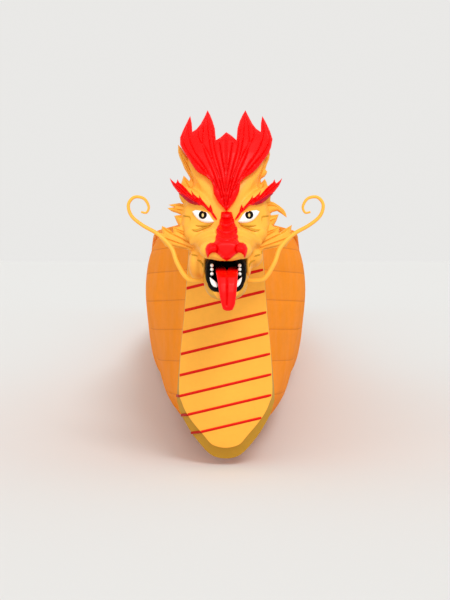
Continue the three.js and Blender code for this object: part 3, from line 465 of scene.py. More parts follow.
def worked(parts, voxel, relax, cut=None):
    """Solids joined into one skin: the cut is taken out, then it is remeshed and relaxed."""
    used = [new_object("work", new_mesh("work", *part)) for part in (together(parts), cut) if part]
    for made in used:
        weld(made.data, 1e-3)
    base = used[0]
    if cut:
        take = base.modifiers.new("cut", "BOOLEAN")
        take.operation, take.object, take.solver = "DIFFERENCE", used[1], "EXACT"
    remesh = base.modifiers.new("skin", "REMESH")
    remesh.mode, remesh.voxel_size, remesh.adaptivity = "VOXEL", voxel, 0
    ease = base.modifiers.new("ease", "SMOOTH")
    ease.factor, ease.iterations = 0.5, relax
    depsgraph = bpy.context.evaluated_depsgraph_get()
    result = bpy.data.meshes.new_from_object(base.evaluated_get(depsgraph))
    part = largest([v.co for v in result.vertices], [tuple(p.vertices) for p in result.polygons])
    for made in used:
        bpy.data.objects.remove(made)
    bpy.data.meshes.remove(result)
    return part


def normals_of(part):
    mesh = new_mesh("work", *part)
    found = np.array([tuple(v.normal) for v in mesh.vertices])
    bpy.data.meshes.remove(mesh)
    return found


def scale_height(a, b):
    """Height of overlapping scales, from 0 to 1. a counts rows away from the root, b across."""
    best = np.zeros(np.broadcast(a, b).shape)
    done = np.zeros(best.shape, bool)
    for back in (1, 0):
        row = np.floor(a) - back
        across = b - 0.5 * (row % 2)
        db = across - np.round(across)
        reach = 1.0 + 0.62 * np.sqrt(np.clip(1 - (2 * db) ** 2, 0, 1))
        da = a - row
        hit = (da < reach) & ~done
        crown = 1 - 0.35 * (2 * db) ** 2
        best = np.where(hit, (0.25 + 0.75 * da / reach) * crown, best)
        done |= hit
    return best


def scale_shade(raised):
    """Painted shade in the furrows between scales."""
    return np.clip(1 - raised * 1.6, 0, 1) * 0.8


# Flat carved shapes


def near(points, lines):
    """Distance of each point to the nearest of some polylines."""
    best = np.full(len(points), 1e9)
    for line in lines:
        line = np.asarray(line, float)
        for a, b in zip(line[:-1], line[1:]):
            way = b - a
            t = np.clip(((points - a) @ way) / max(way @ way, 1e-9), 0, 1)
            best = np.minimum(best, np.linalg.norm(points - (a + t[:, None] * way), axis=1))
    return best


def even(outline, spacing):
    """A closed outline with points at about one spacing, corners kept."""
    out = []
    outline = np.asarray(outline, float)
    for a, b in zip(outline, np.roll(outline, -1, axis=0)):
        steps = max(1, round(np.linalg.norm(b - a) / spacing))
        out += [a + (b - a) * k / steps for k in range(steps)]
    return np.array(out)


def inside(points, outline):
    """Whether each point lies inside a closed outline."""
    u, v = points.T
    crossings = np.zeros(len(points), int)
    for (u0, v0), (u1, v1) in zip(outline, outline[1:] + outline[:1]):
        if v0 != v1:
            between = (v0 > v) != (v1 > v)
            crossings += between & (u < (u1 - u0) * (v - v0) / (v1 - v0) + u0)
    return crossings % 2 == 1


def inset(rim, by):
    """Points of a closed outline moved inwards, without those that come too near another edge."""
    way = unit(np.roll(rim, -1, axis=0) - np.roll(rim, 1, axis=0))
    u, v = rim.T
    area = (u * np.roll(v, -1) - np.roll(u, -1) * v).sum()
    moved = rim + left_of(way) * by * np.sign(area)
    closed = [np.vstack([rim, rim[:1]])]
    return moved[inside(moved, [tuple(p) for p in rim]) & (near(moved, closed) > by * 0.85)]


def dome(away, height, width):
    """How high a rounded edge stands at a distance from its rim."""
    t = np.clip(away / width, 0, 1)
    return height * np.sqrt(1 - (1 - t) ** 2)


def plate(outline, put, spacing, front, back=None, edge=0.0, grooves=(), groove=(1.0, 0.0)):
    """A flat carved shape. put(u, v, h) gives a point h in front of the shape's own surface.

    spacing is between its points. front and back are (height, width of the rounding), and edge is
    the thickness of the rim. grooves are lines that are carved in by groove = (half width, depth).
    Returns a part, and how deep each point lies in a groove.
    """
    groove_half, depth = groove
    rim = even(outline, spacing)
    closed = [np.vstack([rim, rim[:1]])]
    low, high = rim.min(0), rim.max(0)
    grooves = [curve(line, max(3, round(lengths(np.array(line))[-1] / spacing))) for line in grooves]
    banks = []
    for line in grooves:
        across = left_of(directions(line)) * groove_half
        banks += [line + across, line - across]
    grid = []
    for k, v in enumerate(np.arange(low[1], high[1], spacing * 0.87)):
        grid += [(u, v) for u in np.arange(low[0] + (k % 2) * spacing / 2, high[0], spacing)]
    grid = np.array(grid)
    clear = near(grid, grooves + banks) > spacing * 0.5
    grid = grid[clear & (near(grid, closed) > spacing * 0.85)]
    if grooves:
        ruled = np.vstack(grooves + banks)
        ruled = ruled[(near(ruled, closed) > spacing * 0.7) & inside(ruled, outline)]
        grid = np.vstack([ruled, grid])
    every = np.vstack([rim, inset(rim, spacing * 0.35), grid])
    found = delaunay_2d_cdt([Vector(p) for p in every], [], [list(range(len(rim)))], 1, 1e-5)
    flat = np.array([tuple(p) for p in found[0]])
    triangles = [tuple(f) for f in found[2]]
    away = near(flat, closed)
    away[away < 1e-4] = 0

    rise = dome(away, *front) + edge / 2
    carved = np.zeros(len(flat))
    if grooves:
        carved = np.clip(1 - near(flat, grooves) / groove_half, 0, 1)
        carved *= np.clip(away / (0.6 * groove_half), 0, 1)
        rise = rise - depth * carved
    if back:
        fall = dome(away, *back) + edge / 2
    else:
        fall = np.full(len(flat), edge / 2 or 0.5)
    ahead = [put(u, v, h) for (u, v), h in zip(flat, rise)]
    behind = [put(u, v, -h) for (u, v), h in zip(flat, fall)]
    count = len(flat)
    faces = triangles + [tuple(i + count for i in reversed(f)) for f in triangles]
    edges = [(a, b) for f in triangles for a, b in zip(f, f[1:] + f[:1])]
    known = set(edges)
    faces += [(b, a, a + count, b + count) for a, b in edges if (b, a) not in known]
    return (np.array(ahead + behind), faces), np.r_[carved, carved]


def carve(name, slot, shape, shade=0.0, sharp=50, **more):
    """A piece from a plate, with painted shade in its grooves. Returns the plate's part."""
    part, carved = shape
    piece(name, part, slot, shade=carved * shade if shade else None, sharp=sharp, **more)
    return part


def seen(px, py, y):
    """The point that the camera shows at a pixel, at depth y along the boat."""
    away = y - CAMERA[1]
    x = CAMERA[0] + (px - MIDDLE[0]) * away / FOCAL
    return (x, y, CAMERA[2] - (py - MIDDLE[1]) * away / FOCAL)


def pixel_of(point):
    away = point[1] - CAMERA[1]
    px = MIDDLE[0] + (point[0] - CAMERA[0]) * FOCAL / away
    return (px, MIDDLE[1] + (CAMERA[2] - point[2]) * FOCAL / away)


def tree_of(*parts):
    points, faces = together(parts)
    return BVHTree.FromPolygons([tuple(p) for p in points], faces)


def struck(tree, px, py):
    """Depth along the boat at which the camera's ray meets a skin, or nothing."""
    start = Vector(CAMERA)
    way = (Vector(seen(px, py, HEAD[1])) - start).normalized()
    hit = tree.ray_cast(start, way)[0]
    return None if hit is None else hit.y


def on_surface(tree, otherwise, lift=0.0):
    """put() for a shape laid on a skin, with a depth for places where there is none behind it."""

    def put(px, py, h):
        y = struck(tree, px, py)
        rest = otherwise(px, py)
        return seen(px, py, (rest if y is None else min(y, rest)) - lift - h)

    return put


def leaning(depth):
    """put() for a shape seen from the camera whose surface lies at depth(px, py)."""
    return lambda px, py, h: seen(px, py, depth(px, py) - h)


def flip(outline):
    """The other side's outline, as the camera sees it."""
    return [(2 * FACE_MIDDLE - u, v) for u, v in outline]


# Hull

HULL_LENGTH = 12490.0
BOW_Y = -HULL_LENGTH / 2
SHELL = 18.0
LINING = 6.0
BOARD = 25.0
BOW_RAKE, BOW_RAKE_LENGTH = 0.3, 2500.0
STERN_RAKE, STERN_RAKE_LENGTH = 0.42, 1900.0

# Columns: s aft of the bow, half beam, keel height, sheer height, shape of the section
FORM = np.array([
    [0, 178, 48, 900, 0],
    [1000, 328, 14, 880, 0.9],
    [1500, 373, -2, 868, 1],
    [2000, 403, -18, 846, 1.1],
    [2500, 431, -31, 790, 1.25],
    [3000, 456, -41, 690, 1.5],
    [3500, 479, -48, 582, 1.8],
    [4000, 503, -54, 496, 2],
    [5000, 551, -62, 432, 2],
    [6245, 580, -65, 415, 2],
    [8000, 562, -61, 425, 2],
    [9500, 500, -46, 455, 2],
    [10500, 425, -24, 520, 1.8],
    [11300, 335, 8, 620, 1.3],
    [12000, 235, 58, 740, 0.8],
    [12490, 165, 112, 830, 0.4],
])
BEAM, KEEL, SHEER, SHAPE = 1, 2, 3, 4

# Half of a section from the keel up, as shares of the half beam and of the depth. Columns:
# breadth and height of the egg at the bow, of the deep shoulders and of the flat midship section
SECTION = np.array([
    [0, 0, 0, 0, 0, 0],
    [0.2, 0.006, 0.22, 0.008, 0.3, 0.006],
    [0.37, 0.03, 0.42, 0.035, 0.56, 0.03],
    [0.57, 0.08, 0.6, 0.09, 0.75, 0.085],
    [0.77, 0.145, 0.745, 0.17, 0.87, 0.175],
    [0.92, 0.205, 0.83, 0.28, 0.925, 0.29],
    [0.985, 0.275, 0.9, 0.42, 0.958, 0.42],
    [0.94, 0.4, 0.958, 0.56, 0.982, 0.56],
    [0.88, 0.54, 1, 0.69, 0.995, 0.7],
    [0.82, 0.68, 0.995, 0.79, 1, 0.82],
    [0.755, 0.83, 0.955, 0.9, 1, 0.92],
    [0.69, 1, 0.87, 1, 0.995, 1],
])

# Where the seams between the planks run, as shares of the way from the keel to the sheer
SEAMS = [0.17, 0.33, 0.47, 0.6, 0.72, 0.84, 0.94]
SEAM_HALF = 0.0035
places = [(p, 0.0) for p in np.linspace(0, 1, 27) if min(abs(p - q) for q in SEAMS) > 0.008]
for seam in SEAMS:
    places += [(seam - SEAM_HALF, 0.0), (seam, 1.0), (seam + SEAM_HALF, 0.0)]
SAMPLES = np.array(sorted(places))

SECTIONS = [("bow", 0, 3340), ("fore", 3340, 6460), ("aft", 6460, 9580), ("stern", 9580, 12490)]
CAP = {"inner": 22, "outer": 12, "thick": 26, "round": 9}
KEELSON = {"half": 90, "thick": 22, "from": 2450, "to": 10560}
RAIL = {"wide": 36, "low": 228, "high": 261.7, "from": 2500, "to": 10420}
SEAM_DEPTH = {"outside": 1.4, "inside": 1.6}
CHAMFER = 4.0


def form(column, s):
    return float(smooth(FORM[:, 0], FORM[:, column], min(max(s, 0), HULL_LENGTH))[0])


def y_at(s, z):
    clamped = min(max(s, 0), HULL_LENGTH)
    bow = max(0, 1 - clamped / BOW_RAKE_LENGTH) ** 2
    stern = max(0, 1 - (HULL_LENGTH - clamped) / STERN_RAKE_LENGTH) ** 2
    return BOW_Y + s + (BOW_RAKE * bow - STERN_RAKE * stern) * (form(SHEER, s) - z)


def half_section(s, inwards=0.0, seam=0.0):
    """Half of the section at s from the keel to the sheer, moved inwards. Seams are cut deeper."""
    shape, keel = form(SHAPE, s), form(KEEL, s)
    first = min(int(shape), 1) * 2
    share = shape - first / 2
    rows = SECTION[:, first : first + 2] * (1 - share) + SECTION[:, first + 2 : first + 4] * share
    outer = rows * [form(BEAM, s), form(SHEER, s) - keel] + [0, keel]
    path = np.vstack([outer[2:0:-1] * [-1, 1], outer])
    t = lengths(path)
    t -= t[2]
    at = SAMPLES[:, 0] * t[-1]
    way = unit(smooth(t, path, at + 1) - smooth(t, path, at - 1))
    deep = inwards + seam * SAMPLES[:, 1]
    made = smooth(t, path, at) + left_of(way) * deep[:, None]
    made[-1, 1] = form(SHEER, s)
    return made


def whole(half):
    return np.vstack([half[:0:-1] * [-1, 1], half])


def placed(s, section):
    return [(x, y_at(s, z), z) for x, z in section]


def half_width(s, z, inwards=SHELL):
    """Half the width between the planks at a height."""
    section = half_section(s, inwards)
    return float(np.interp(z, section[:, 1], section[:, 0]))


def stations(low, high, step=90.0):
    return np.linspace(low, high, max(2, round((high - low) / step) + 1))


def rounded(x0, x1, z0, z1, r, steps=3):
    """A rectangle with round corners, as a ring in the plane across the boat."""
    ring = []
    corners = [(x1 - r, z0 + r, -90), (x1 - r, z1 - r, 0), (x0 + r, z1 - r, 90), (x0 + r, z0 + r, 180)]
    for x, z, start in corners:
        for k in range(steps + 1):
            a = math.radians(start + 90 * k / steps)
            ring.append((x + r * math.cos(a), z + r * math.sin(a)))
    return ring


def skin(low, high, outer, inner, seam_out, seam_in, lift=0.0):
    """Planking from one depth in the shell to another, with its seams cut from one side."""
    rings = []
    for s in stations(low, high):
        a, b = half_section(s, outer, seam_out), half_section(s, inner, -seam_in)
        a[-1, 1] += lift
        b[-1, 1] += lift
        rings.append(placed(s, np.vstack([whole(a), whole(b)[::-1]])))
    return loft(rings)


def plank_tones(low, high, tones):
    """Shade of a skin, from a tone for each plank of both sides, with dark seams."""
    plank = np.searchsorted(SEAMS, SAMPLES[:, 0], side="right")
    port, starboard = (np.maximum(side[plank], 0.5 * SAMPLES[:, 1]) for side in tones)
    ring = np.r_[port[:0:-1], starboard]
    return np.tile(np.r_[ring, ring[::-1]], len(stations(low, high)))


def gunwale(low, high):
    """The cap on the port side's upper edge."""
    rings = []
    for s in stations(low, high, 60.0):
        x, z = half_section(s)[-1]
        sides = x - SHELL - CAP["inner"], x + CAP["outer"]
        ring = rounded(*sides, z + GAP, z + GAP + CAP["thick"], CAP["round"])
        rings.append([(u, y_at(s, z), v) for u, v in ring])
    return loft(rings)


def keelson(low, high):
    """The plank along the bottom of one section of the hull."""
    across = np.linspace(-KEELSON["half"], KEELSON["half"], 9)
    rings = []
    for s in stations(max(low, KEELSON["from"]), min(high, KEELSON["to"])):
        section = whole(half_section(s, SHELL))
        foot = np.interp(across, section[:, 0], section[:, 1])
        top = foot + KEELSON["thick"]
        ring = [*zip(across, foot), (across[-1] + 0.5, top[-1] - CHAMFER)]
        ring += [*zip(across[::-1], top[::-1]), (across[0] - 0.5, top[0] - CHAMFER)]
        rings.append(placed(s, ring))
    return loft(rings)


def ledge(low, high):
    """The rail under the benches on the port side of one section of the hull."""
    wide, bottom, top = RAIL["wide"], RAIL["low"], RAIL["high"]
    rings = []
    for s in stations(max(low, RAIL["from"]), min(high, RAIL["to"])):
        section = half_section(s, SHELL)
        a, b = np.interp([bottom, top], section[:, 1], section[:, 0])
        ring = [(a, bottom), (b, top), (b - wide + CHAMFER, top), (b - wide, top - CHAMFER)]
        ring += [(a - wide, bottom + CHAMFER), (a - wide + CHAMFER, bottom)]
        rings.append(placed(s, ring))
    return loft(rings)


PAINT_TONES, WOOD_TONES = (chance.random((2, len(SEAMS) + 1)) * most for most in (0.08, 0.3))


def hull_section(name, start, end):
    """Planking, lining, gunwale caps and timbers of one section."""
    low = start + GAP / 2 if start else start
    high = end - GAP / 2 if end < HULL_LENGTH else end
    cap_ends = low if start else -BOARD, high if end < HULL_LENGTH else end + BOARD
    inner = SHELL - LINING
    planks = skin(low, high, 0, inner, SEAM_DEPTH["outside"], 0, 1.0)
    lining = skin(low, high, inner + 0.1, SHELL, 0, SEAM_DEPTH["inside"])
    timbers = together([keelson(low, high), *both([ledge(low, high)])])
    paint_tones, wood_tones = (plank_tones(low, high, tones) for tones in (PAINT_TONES, WOOD_TONES))
    piece(f"planking_{name}", planks, "hull_paint", replaces=f"hull_{name}", shade=paint_tones)
    piece(f"lining_{name}", lining, "hull_paint", shade=wood_tones, material=LINING_WOOD)
    piece(f"gunwales_{name}", together(both([gunwale(*cap_ends)])), "hull_paint")
    piece(f"timbers_{name}", timbers, "hull_paint", material=LONG_WOOD)


for each in SECTIONS:
    hull_section(*each)

# Rows: distance from the hull's end, and share of the outline's size
BOARD_EDGE = [(GAP, 1), (BOARD - 4, 1), (BOARD - 1, 0.993), (BOARD, 0.985)]


def end_board(s, outward):
    section = whole(half_section(s))
    middle = section.mean(0)
    rings = []
    for step, share in BOARD_EDGE:
        ring = middle + (section - middle) * share
        rings.append([(x, y_at(s, z) + outward * step, z) for x, z in ring])
    return loft(rings)


piece("bow_transom", end_board(0, -1), "hull_paint", replaces="bow_board")
piece("stern_transom", end_board(HULL_LENGTH, 1), "hull_paint", replaces="stern_board")

PLANKS_A_SIDE, PLANK_NARROWEST = 8, 5
PLANK_CLEAR, PLANK_ROUND, PLANK_STEP = 1.5, 1.6, 45.0
DECK = {"thick": 22, "plank": 62, "cleat": (14, 44)}
FLOOR = {"thick": 22, "plank": 84, "seam": 5, "bearer": (44, 8)}
CLEAT_DOWN, CLEAT_FIT, CLEAT_CLEAR = 30, 20, 3
BEARERS, BEARER_INSET, BEARER_CLEAR, BEARER_LET_IN = 4, 60, 6, 0.5
WALL_CLEAR, WALL_DOWN = 0.6, 0.5


def planked(low, high, top, thick, width, seam=3.0):
    """Planks laid along the boat between its sides. top gives the height at s."""
    parts = []
    for k in range(-PLANKS_A_SIDE, PLANKS_A_SIDE):
        run = []
        for s in stations(low, high, PLANK_STEP):
            z = top(s)
            limit = min(half_width(s, z), half_width(s, z - thick)) - PLANK_CLEAR
            x0 = min(max(k * width + seam / 2, -limit), limit)
            x1 = min(max((k + 1) * width - seam / 2, -limit), limit)
            if x1 - x0 > PLANK_NARROWEST:
                ring = rounded(x0, x1, z - thick, z, PLANK_ROUND, 2)
                run.append([(x, y_at(s, v), v) for x, v in ring])
        if len(run) > 3:
            parts.append(loft(run))
    return parts


def bulkhead(walls, top):
    """A board across the hull up to a height."""
    rings = []
    for s in walls:
        section = whole(half_section(s, SHELL + WALL_CLEAR))
        edge = half_width(s, top, SHELL + WALL_CLEAR)
        ring = [(-edge, top), *section[section[:, 1] < top], (edge, top)]
        rings.append([(x, BOW_Y + s, z) for x, z in ring])
    return loft(rings)


def deck(name, low, high, walls, replaces):
    """Deck planks, and the board below them with a cleat along each face."""
    top = lambda s: form(SHEER, s) - GAP
    thick, (deep, tall) = DECK["thick"], DECK["cleat"]
    parts = planked(low, high, top, thick, DECK["plank"])
    parts.append(bulkhead(walls, min(map(top, walls)) - thick - WALL_DOWN))
    for side, s in zip((-1, 1), walls):
        z = top(s) - thick - CLEAT_DOWN
        half = half_width(s, z - CLEAT_FIT) - CLEAT_CLEAR
        y0, y1 = sorted((BOW_Y + s, BOW_Y + s + deep * side))
        parts.append(block((-half, y0, z - tall / 2), (half, y1, z + tall / 2), 4))
    tones = board_tones(parts, 0.16)
    piece(name, together(parts), "hull_paint", replaces=replaces, shade=tones)


def floor(name, low, high, bottom, replaces):
    """Floor boards on four bearers."""
    wide, tall = FLOOR["bearer"]
    top = bottom + FLOOR["thick"]
    parts = planked(low, high, lambda s: top, FLOOR["thick"] - tall, FLOOR["plank"], FLOOR["seam"])
    for s in np.linspace(low + BEARER_INSET, high - BEARER_INSET, BEARERS):
        half = half_width(s, bottom) - BEARER_CLEAR
        y = BOW_Y + s
        corner = (half, y + wide / 2, bottom + tall + BEARER_LET_IN)
        parts.append(block((-half, y - wide / 2, bottom), corner, 1.5))
    tones = board_tones(parts)
    piece(name, together(parts), "pale_wood", replaces=replaces, shade=tones, material=LONG_WOOD)


deck("foredeck_planks", 2, 983, (960, 984), "foredeck")
deck("afterdeck_planks", 11577, HULL_LENGTH - 2, (11576, 11600), "afterdeck")
floor("drummer_floor_boards", 992, 2398, 190, "drummer_floor")
floor("helm_floor_boards", 10622, 11568, 130, "helm_floor")

BENCHES, BENCH_PITCH, FIRST_BENCH, BENCH_TOP = 10, 780, 2950, 290
SCREW = [(0, 0.2), (6.5, 0.2), (6, 1.5), (2.5, 2.3), (0, 2.3)]
SCREW_ROWS, SCREW_FROM_SIDE = (-70, 0, 70), 34

screws = []
for k in range(BENCHES):
    eased(f"bench_{k + 1}", "pale_wood", 3.0)
    for ahead in SCREW_ROWS:
        s = FIRST_BENCH + k * BENCH_PITCH + ahead
        reach = half_width(s, BENCH_TOP) - SCREW_FROM_SIDE
        screws += [lathe(SCREW, 14, (side * reach, BOW_Y + s, BENCH_TOP)) for side in (-1, 1)]
piece("bench_screws", together(screws), "pale_wood", material=BRASS)

# Chest board

# Columns: height and half width of the back edge, height and half width of the face
CHEST = np.array([
    [29, 0, 77, 0],
    [33, 30, 81, 28],
    [46, 58, 94, 56],
    [78, 89, 126, 82],
    [135, 131, 172, 119],
    [198, 164, 213, 146],
    [240, 178, 254, 163],
    [285, 182, 300, 173],
    [448, 167.5, 448, 165.5],
    [600, 152, 600, 150],
    [822, 133.5, 822, 131.5],
    [862, 130, 862, 128],
], float)
CHEST_BACK = GAP * 2 + BOARD
CHEST_THICK, PLATE_THICK = 34.0, 8.0
STRIPE = {"count": 8, "first": 163, "pitch": 79.3, "slope": 0.245, "half": 5.5, "proud": 6}
STRIPE_SHORT = (1.0, 3.0)
EDGE_STRIPE = {"round": 2.2, "beyond": 1.5, "narrowest": 6}
LET_IN = 1.0
FACE_BACK = CHEST_BACK + CHEST_THICK + GAP
FACE_FRONT = FACE_BACK + PLATE_THICK


def chest_half(face):
    """Half outline of the board from its lowest point to its top. face 0 is the back, 1 the face."""
    rows = CHEST[:, [1, 0]] * (1 - face) + CHEST[:, [3, 2]] * face
    mirror = rows[2:0:-1] * [-1, 1]
    t = np.arange(-2, len(rows))
    return smooth(t, np.vstack([mirror, rows]), np.linspace(0, len(rows) - 1, 67))


def chest_ring(ahead, face, shrink=0.0):
    half = chest_half(face)
    half = half + left_of(directions(half)) * shrink
    half[0, 0] = 0
    half[-1, 1] -= shrink
    return [(x, y_at(0, z) - ahead, z) for x, z in whole(half)]


# Rows: distance ahead of the hull, the outline from back to face, how much smaller it is
FRAME_RINGS = [(CHEST_BACK, 0, 2), (CHEST_BACK + 3, 0, 0)]
FRAME_RINGS += [(CHEST_BACK + CHEST_THICK * f, f, 0) for f in (0.3, 0.6, 0.9)]
FRAME_RINGS += [(CHEST_BACK + CHEST_THICK, 1, 1)]
PANEL_RINGS = [(FACE_BACK, 1, 0), (FACE_FRONT - 2.5, 1, 0)]
PANEL_RINGS += [(FACE_FRONT - 0.8, 1, 0.8), (FACE_FRONT, 1, 3)]
frame_rings, panel_rings = ([chest_ring(*row) for row in rows] for rows in (FRAME_RINGS, PANEL_RINGS))
# The frame is ochre, a painted shade of the amber panel on the board's sides
piece("chest_frame", loft(frame_rings), "chest_ochre", replaces="chest_board")
piece("chest_panel", loft(panel_rings), "chest_amber", replaces="chest_plate")

face_half, back_half = chest_half(1), chest_half(0)


def stripe_end(middle, side, start, t=0.0, beyond=0.0):
    """Where a stripe meets the outline t of the way from face to back, and both outlines' widths."""
    x = start
    for _ in range(6):
        z = middle + x * STRIPE["slope"]
        widths = [float(np.interp(z, half[:, 1], half[:, 0])) for half in (face_half, back_half)]
        x = side * (widths[0] * (1 - t) + widths[1] * t + beyond)
    return x, widths[1] - widths[0]


def batten(middle, ends):
    """A stripe across the plate, half round and let into it."""
    rings = []
    for x in np.linspace(*ends, 24):
        tip = 1.0 if x < ends[1] - 1 else 0.8
        ring = []
        for a in np.linspace(0, math.pi, 9):
            z = middle + x * STRIPE["slope"] + STRIPE["half"] * tip * math.cos(a)
            proud = (STRIPE["proud"] - LET_IN) * tip * math.sin(a)
            ring.append((x, y_at(0, z) - FACE_FRONT + LET_IN - proud, z))
        rings.append(ring)
    return loft(rings)


def batten_over_edge(middle, start):
    """The stripe's end that runs back over the bevel, where the bevel is wide enough."""
    rings = []
    for t in np.linspace(-0.05, 1, 8):
        x, bevel = stripe_end(middle, -1, start, t, EDGE_STRIPE["beyond"])
        ahead = FACE_BACK + 5 - (CHEST_THICK + 4) * t
        ring = []
        for a in np.linspace(0, FULL_TURN, 10, endpoint=False):
            z = middle + x * STRIPE["slope"] + STRIPE["half"] * math.cos(a)
            out = EDGE_STRIPE["round"] * math.sin(a)
            ring.append((x - out, y_at(0, z) - ahead - out, z))
        rings.append(ring)
    return [loft(rings)] if bevel > EDGE_STRIPE["narrowest"] else []


battens, edge_battens = [], []
for k in range(STRIPE["count"]):
    middle = STRIPE["first"] + k * STRIPE["pitch"]
    ends = [stripe_end(middle, side, 150.0 * side)[0] for side in (-1, 1)]
    ends = [ends[0] + STRIPE_SHORT[0], ends[1] - STRIPE_SHORT[1]]
    battens.append(batten(middle, ends))
    edge_battens += batten_over_edge(middle, ends[0])
BATTEN_RED = paint("batten_red", srgb(214, 10, 0), srgb(150, 8, 4))
piece("chest_battens", together(battens), "dragon_red", material=BATTEN_RED)
# The stripes' ends over the bevel are a darker red: painted shade
piece("chest_batten_ends", together(edge_battens), "dragon_red", material=RED_IN_SHADE)

# Figurehead: jaw, mouth and head shell

HEAD = np.array([0.0, -6495.0, 946.0])

# Rows of ovals. Columns: y, height of the middle, half width, reach above it, reach below it
JAW = [
    [70, -172, 70, 42, 42],
    [15, -190, 82, 50, 50],
    [-50, -214, 78, 46, 46],
    [-110, -241, 71, 34, 42],
    [-160, -258, 58, 24, 32],
    [-197, -268, 34, 12, 18],
]
THROAT = [
    [45, -185, 52, 40, 24],
    [-20, -200, 57, 50, 26],
    [-80, -222, 53, 60, 26],
    [-140, -246, 45, 60, 24],
    [-174, -256, 29, 50, 12],
]
MOUTH = [
    [30, -176, 60, 34, 34],
    [-30, -182, 68, 44, 40],
    [-100, -194, 69, 58, 52],
    [-150, -206, 64, 60, 46],
]
MOUTH_HOLLOW = [[-25, -190, 42, 30, 24], [-90, -200, 48, 44, 30], [-200, -220, 46, 80, 34]]


def ovals(rows, exponent=2.3):
    """A solid through rows of ovals, which are squarer with a higher exponent."""
    rows = np.asarray(rows, float)
    t = lengths(rows[:, :2])
    a = np.linspace(0, FULL_TURN, 40, endpoint=False)
    across, rise = (np.sign(v) * np.abs(v) ** (2 / exponent) for v in (np.cos(a), np.sin(a)))
    rings = []
    for y, z, half, above, below in smooth(t, rows, np.linspace(0, t[-1], 24)):
        heights = z + rise * np.where(rise > 0, above, below)
        rings.append(np.column_stack([half * across, np.full(a.shape, y), heights]) + HEAD)
    return loft(rings)


def at_head(points):
    return np.asarray(points, float) + HEAD


def by_row(table):
    """Depth along the boat from a table of picture row and depth in the head's frame."""
    rows, depths = np.array(table, float).T
    return lambda px, py: HEAD[1] + float(np.interp(py, rows, depths))


def by_side(table):
    """Depth along the boat from a table of pixels from the face's middle and depth."""
    aside, depths = np.array(table, float).T
    return lambda px, py: HEAD[1] + float(np.interp(abs(px - FACE_MIDDLE), aside, depths))


def head_solids():
    """The CAD shell with the carver's forms on it: brow ridges, cheeks, jowls and webs."""
    brow = at_head([(26, -70, -2), (70, -76, 32), (118, -56, 66), (146, -22, 92)])
    fold = at_head([(30, -150, -60), (74, -110, -78), (118, -60, -100)])
    cheek = ball(at_head((98, -46, -66)), (44, 42, 34), turn=-0.5)
    lip = ball(at_head((52, -190, -122)), (36, 46, 31), tip=0.1)
    brow, fold = tube(brow, [10, 19, 20, 8], count=20), tube(fold, [14, 18, 10], count=14)
    web = ball(at_head((75, -40, -168)), (13, 46, 48))
    jowls = [
        ball(at_head((-93, -6, -168)), (34, 66, 62), turn=-0.15),
        ball(at_head((93, -6, -142)), (34, 62, 42), turn=0.15),
    ]
    return [cad_part("head_shell"), *both([brow, cheek, lip, fold]), *jowls, *both([web])]


HEAD_SCALES = {"row": 30, "round": 24, "low": -2, "high": 7, "from": 8, "over": 30, "axis_down": 20}

head = worked(head_solids(), voxel=4.2, relax=9)
local = head[0] - HEAD
around = np.arctan2(local[:, 0], local[:, 2] + HEAD_SCALES["axis_down"]) / FULL_TURN
raised = scale_height(local[:, 1] / HEAD_SCALES["row"], around * HEAD_SCALES["round"])
scaly = np.clip((local[:, 1] - HEAD_SCALES["from"]) / HEAD_SCALES["over"], 0, 1)
grow = (raised * HEAD_SCALES["high"] + HEAD_SCALES["low"]) * scaly
head = head[0] + normals_of(head) * grow[:, None], head[1]
face = tree_of(head)
furrows = scale_shade(raised) * scaly
piece("head_carving", head, "head_amber", replaces="head_shell", shade=furrows, sharp=60)

# Painted shade on the lower sides of the jaw: its outline in picture pixels
JAW_SHADE = [
    (200, 270), (207.4, 270), (208.7, 282.4), (212.5, 291), (217.4, 298.6), (235, 298.6), (240, 291),
    (243.4, 282.4), (245, 270), (254, 270), (250, 310), (200, 310),
]
jaw = worked([ovals(JAW)], voxel=3.0, relax=8, cut=ovals(THROAT))
tone = 0.75 * inside(np.array([pixel_of(p) for p in jaw[0]]), JAW_SHADE)
piece("jaw_carving", jaw, "head_amber", replaces="lower_jaw", shade=tone, sharp=60)
skull = tree_of(head, jaw)
# Black inside the mouth: the paint of its inside, and also painted shade for the open mouth's depth
mouth = worked([ovals(MOUTH, exponent=3.6)], voxel=4.0, relax=2, cut=ovals(MOUTH_HOLLOW))
piece("mouth_hollow", mouth, "mouth_black", replaces="mouth_lining", sharp=60)
GUM = [(58, -110, -216), (54, -140, -230), (48, -166, -243), (34, -186, -252), (14, -194, -255)]
gum = [*GUM, (0, -196, -255), *[(-x, y, z) for x, y, z in GUM[::-1]]]
gum = tube(at_head(gum), [7, 8, 9, 9, 9, 8, 7], count=80, sides=16)
piece("gum_ridge", gum, "mouth_black", sharp=60)

# Figurehead: nose and crest

NOSE = [
    (221.2, 212), (226, 211.4), (231.7, 212), (232.6, 215), (233.4, 218.4), (234.3, 219.6),
    (234.4, 222.4), (235.5, 224.9), (237.2, 227.5), (237.6, 231.4), (236.9, 233.4), (238.1, 236),
    (237.9, 239.5), (239.4, 242.2), (243.2, 242.6), (246, 244.6), (247.6, 248.4), (247.2, 252),
    (246, 255.6), (244.6, 258.6), (243.6, 255.2), (241.6, 253.2), (238.6, 252.6), (235.4, 254.6),
    (231, 258.4), (226.6, 261), (222.2, 258.4), (218.6, 254.8), (215.4, 252.6), (212.4, 252.8),
    (210.2, 254), (208.9, 255.8), (207.9, 258.6), (206.6, 255.6), (205.6, 252), (205.3, 248.4),
    (206.8, 244.8), (210, 242.8), (213.4, 242.6), (215.2, 241), (215.6, 236.6), (216.9, 233.4),
    (216.2, 229.6), (217.4, 226.4), (219.4, 224.2), (219.6, 219.8), (220.6, 218),
]
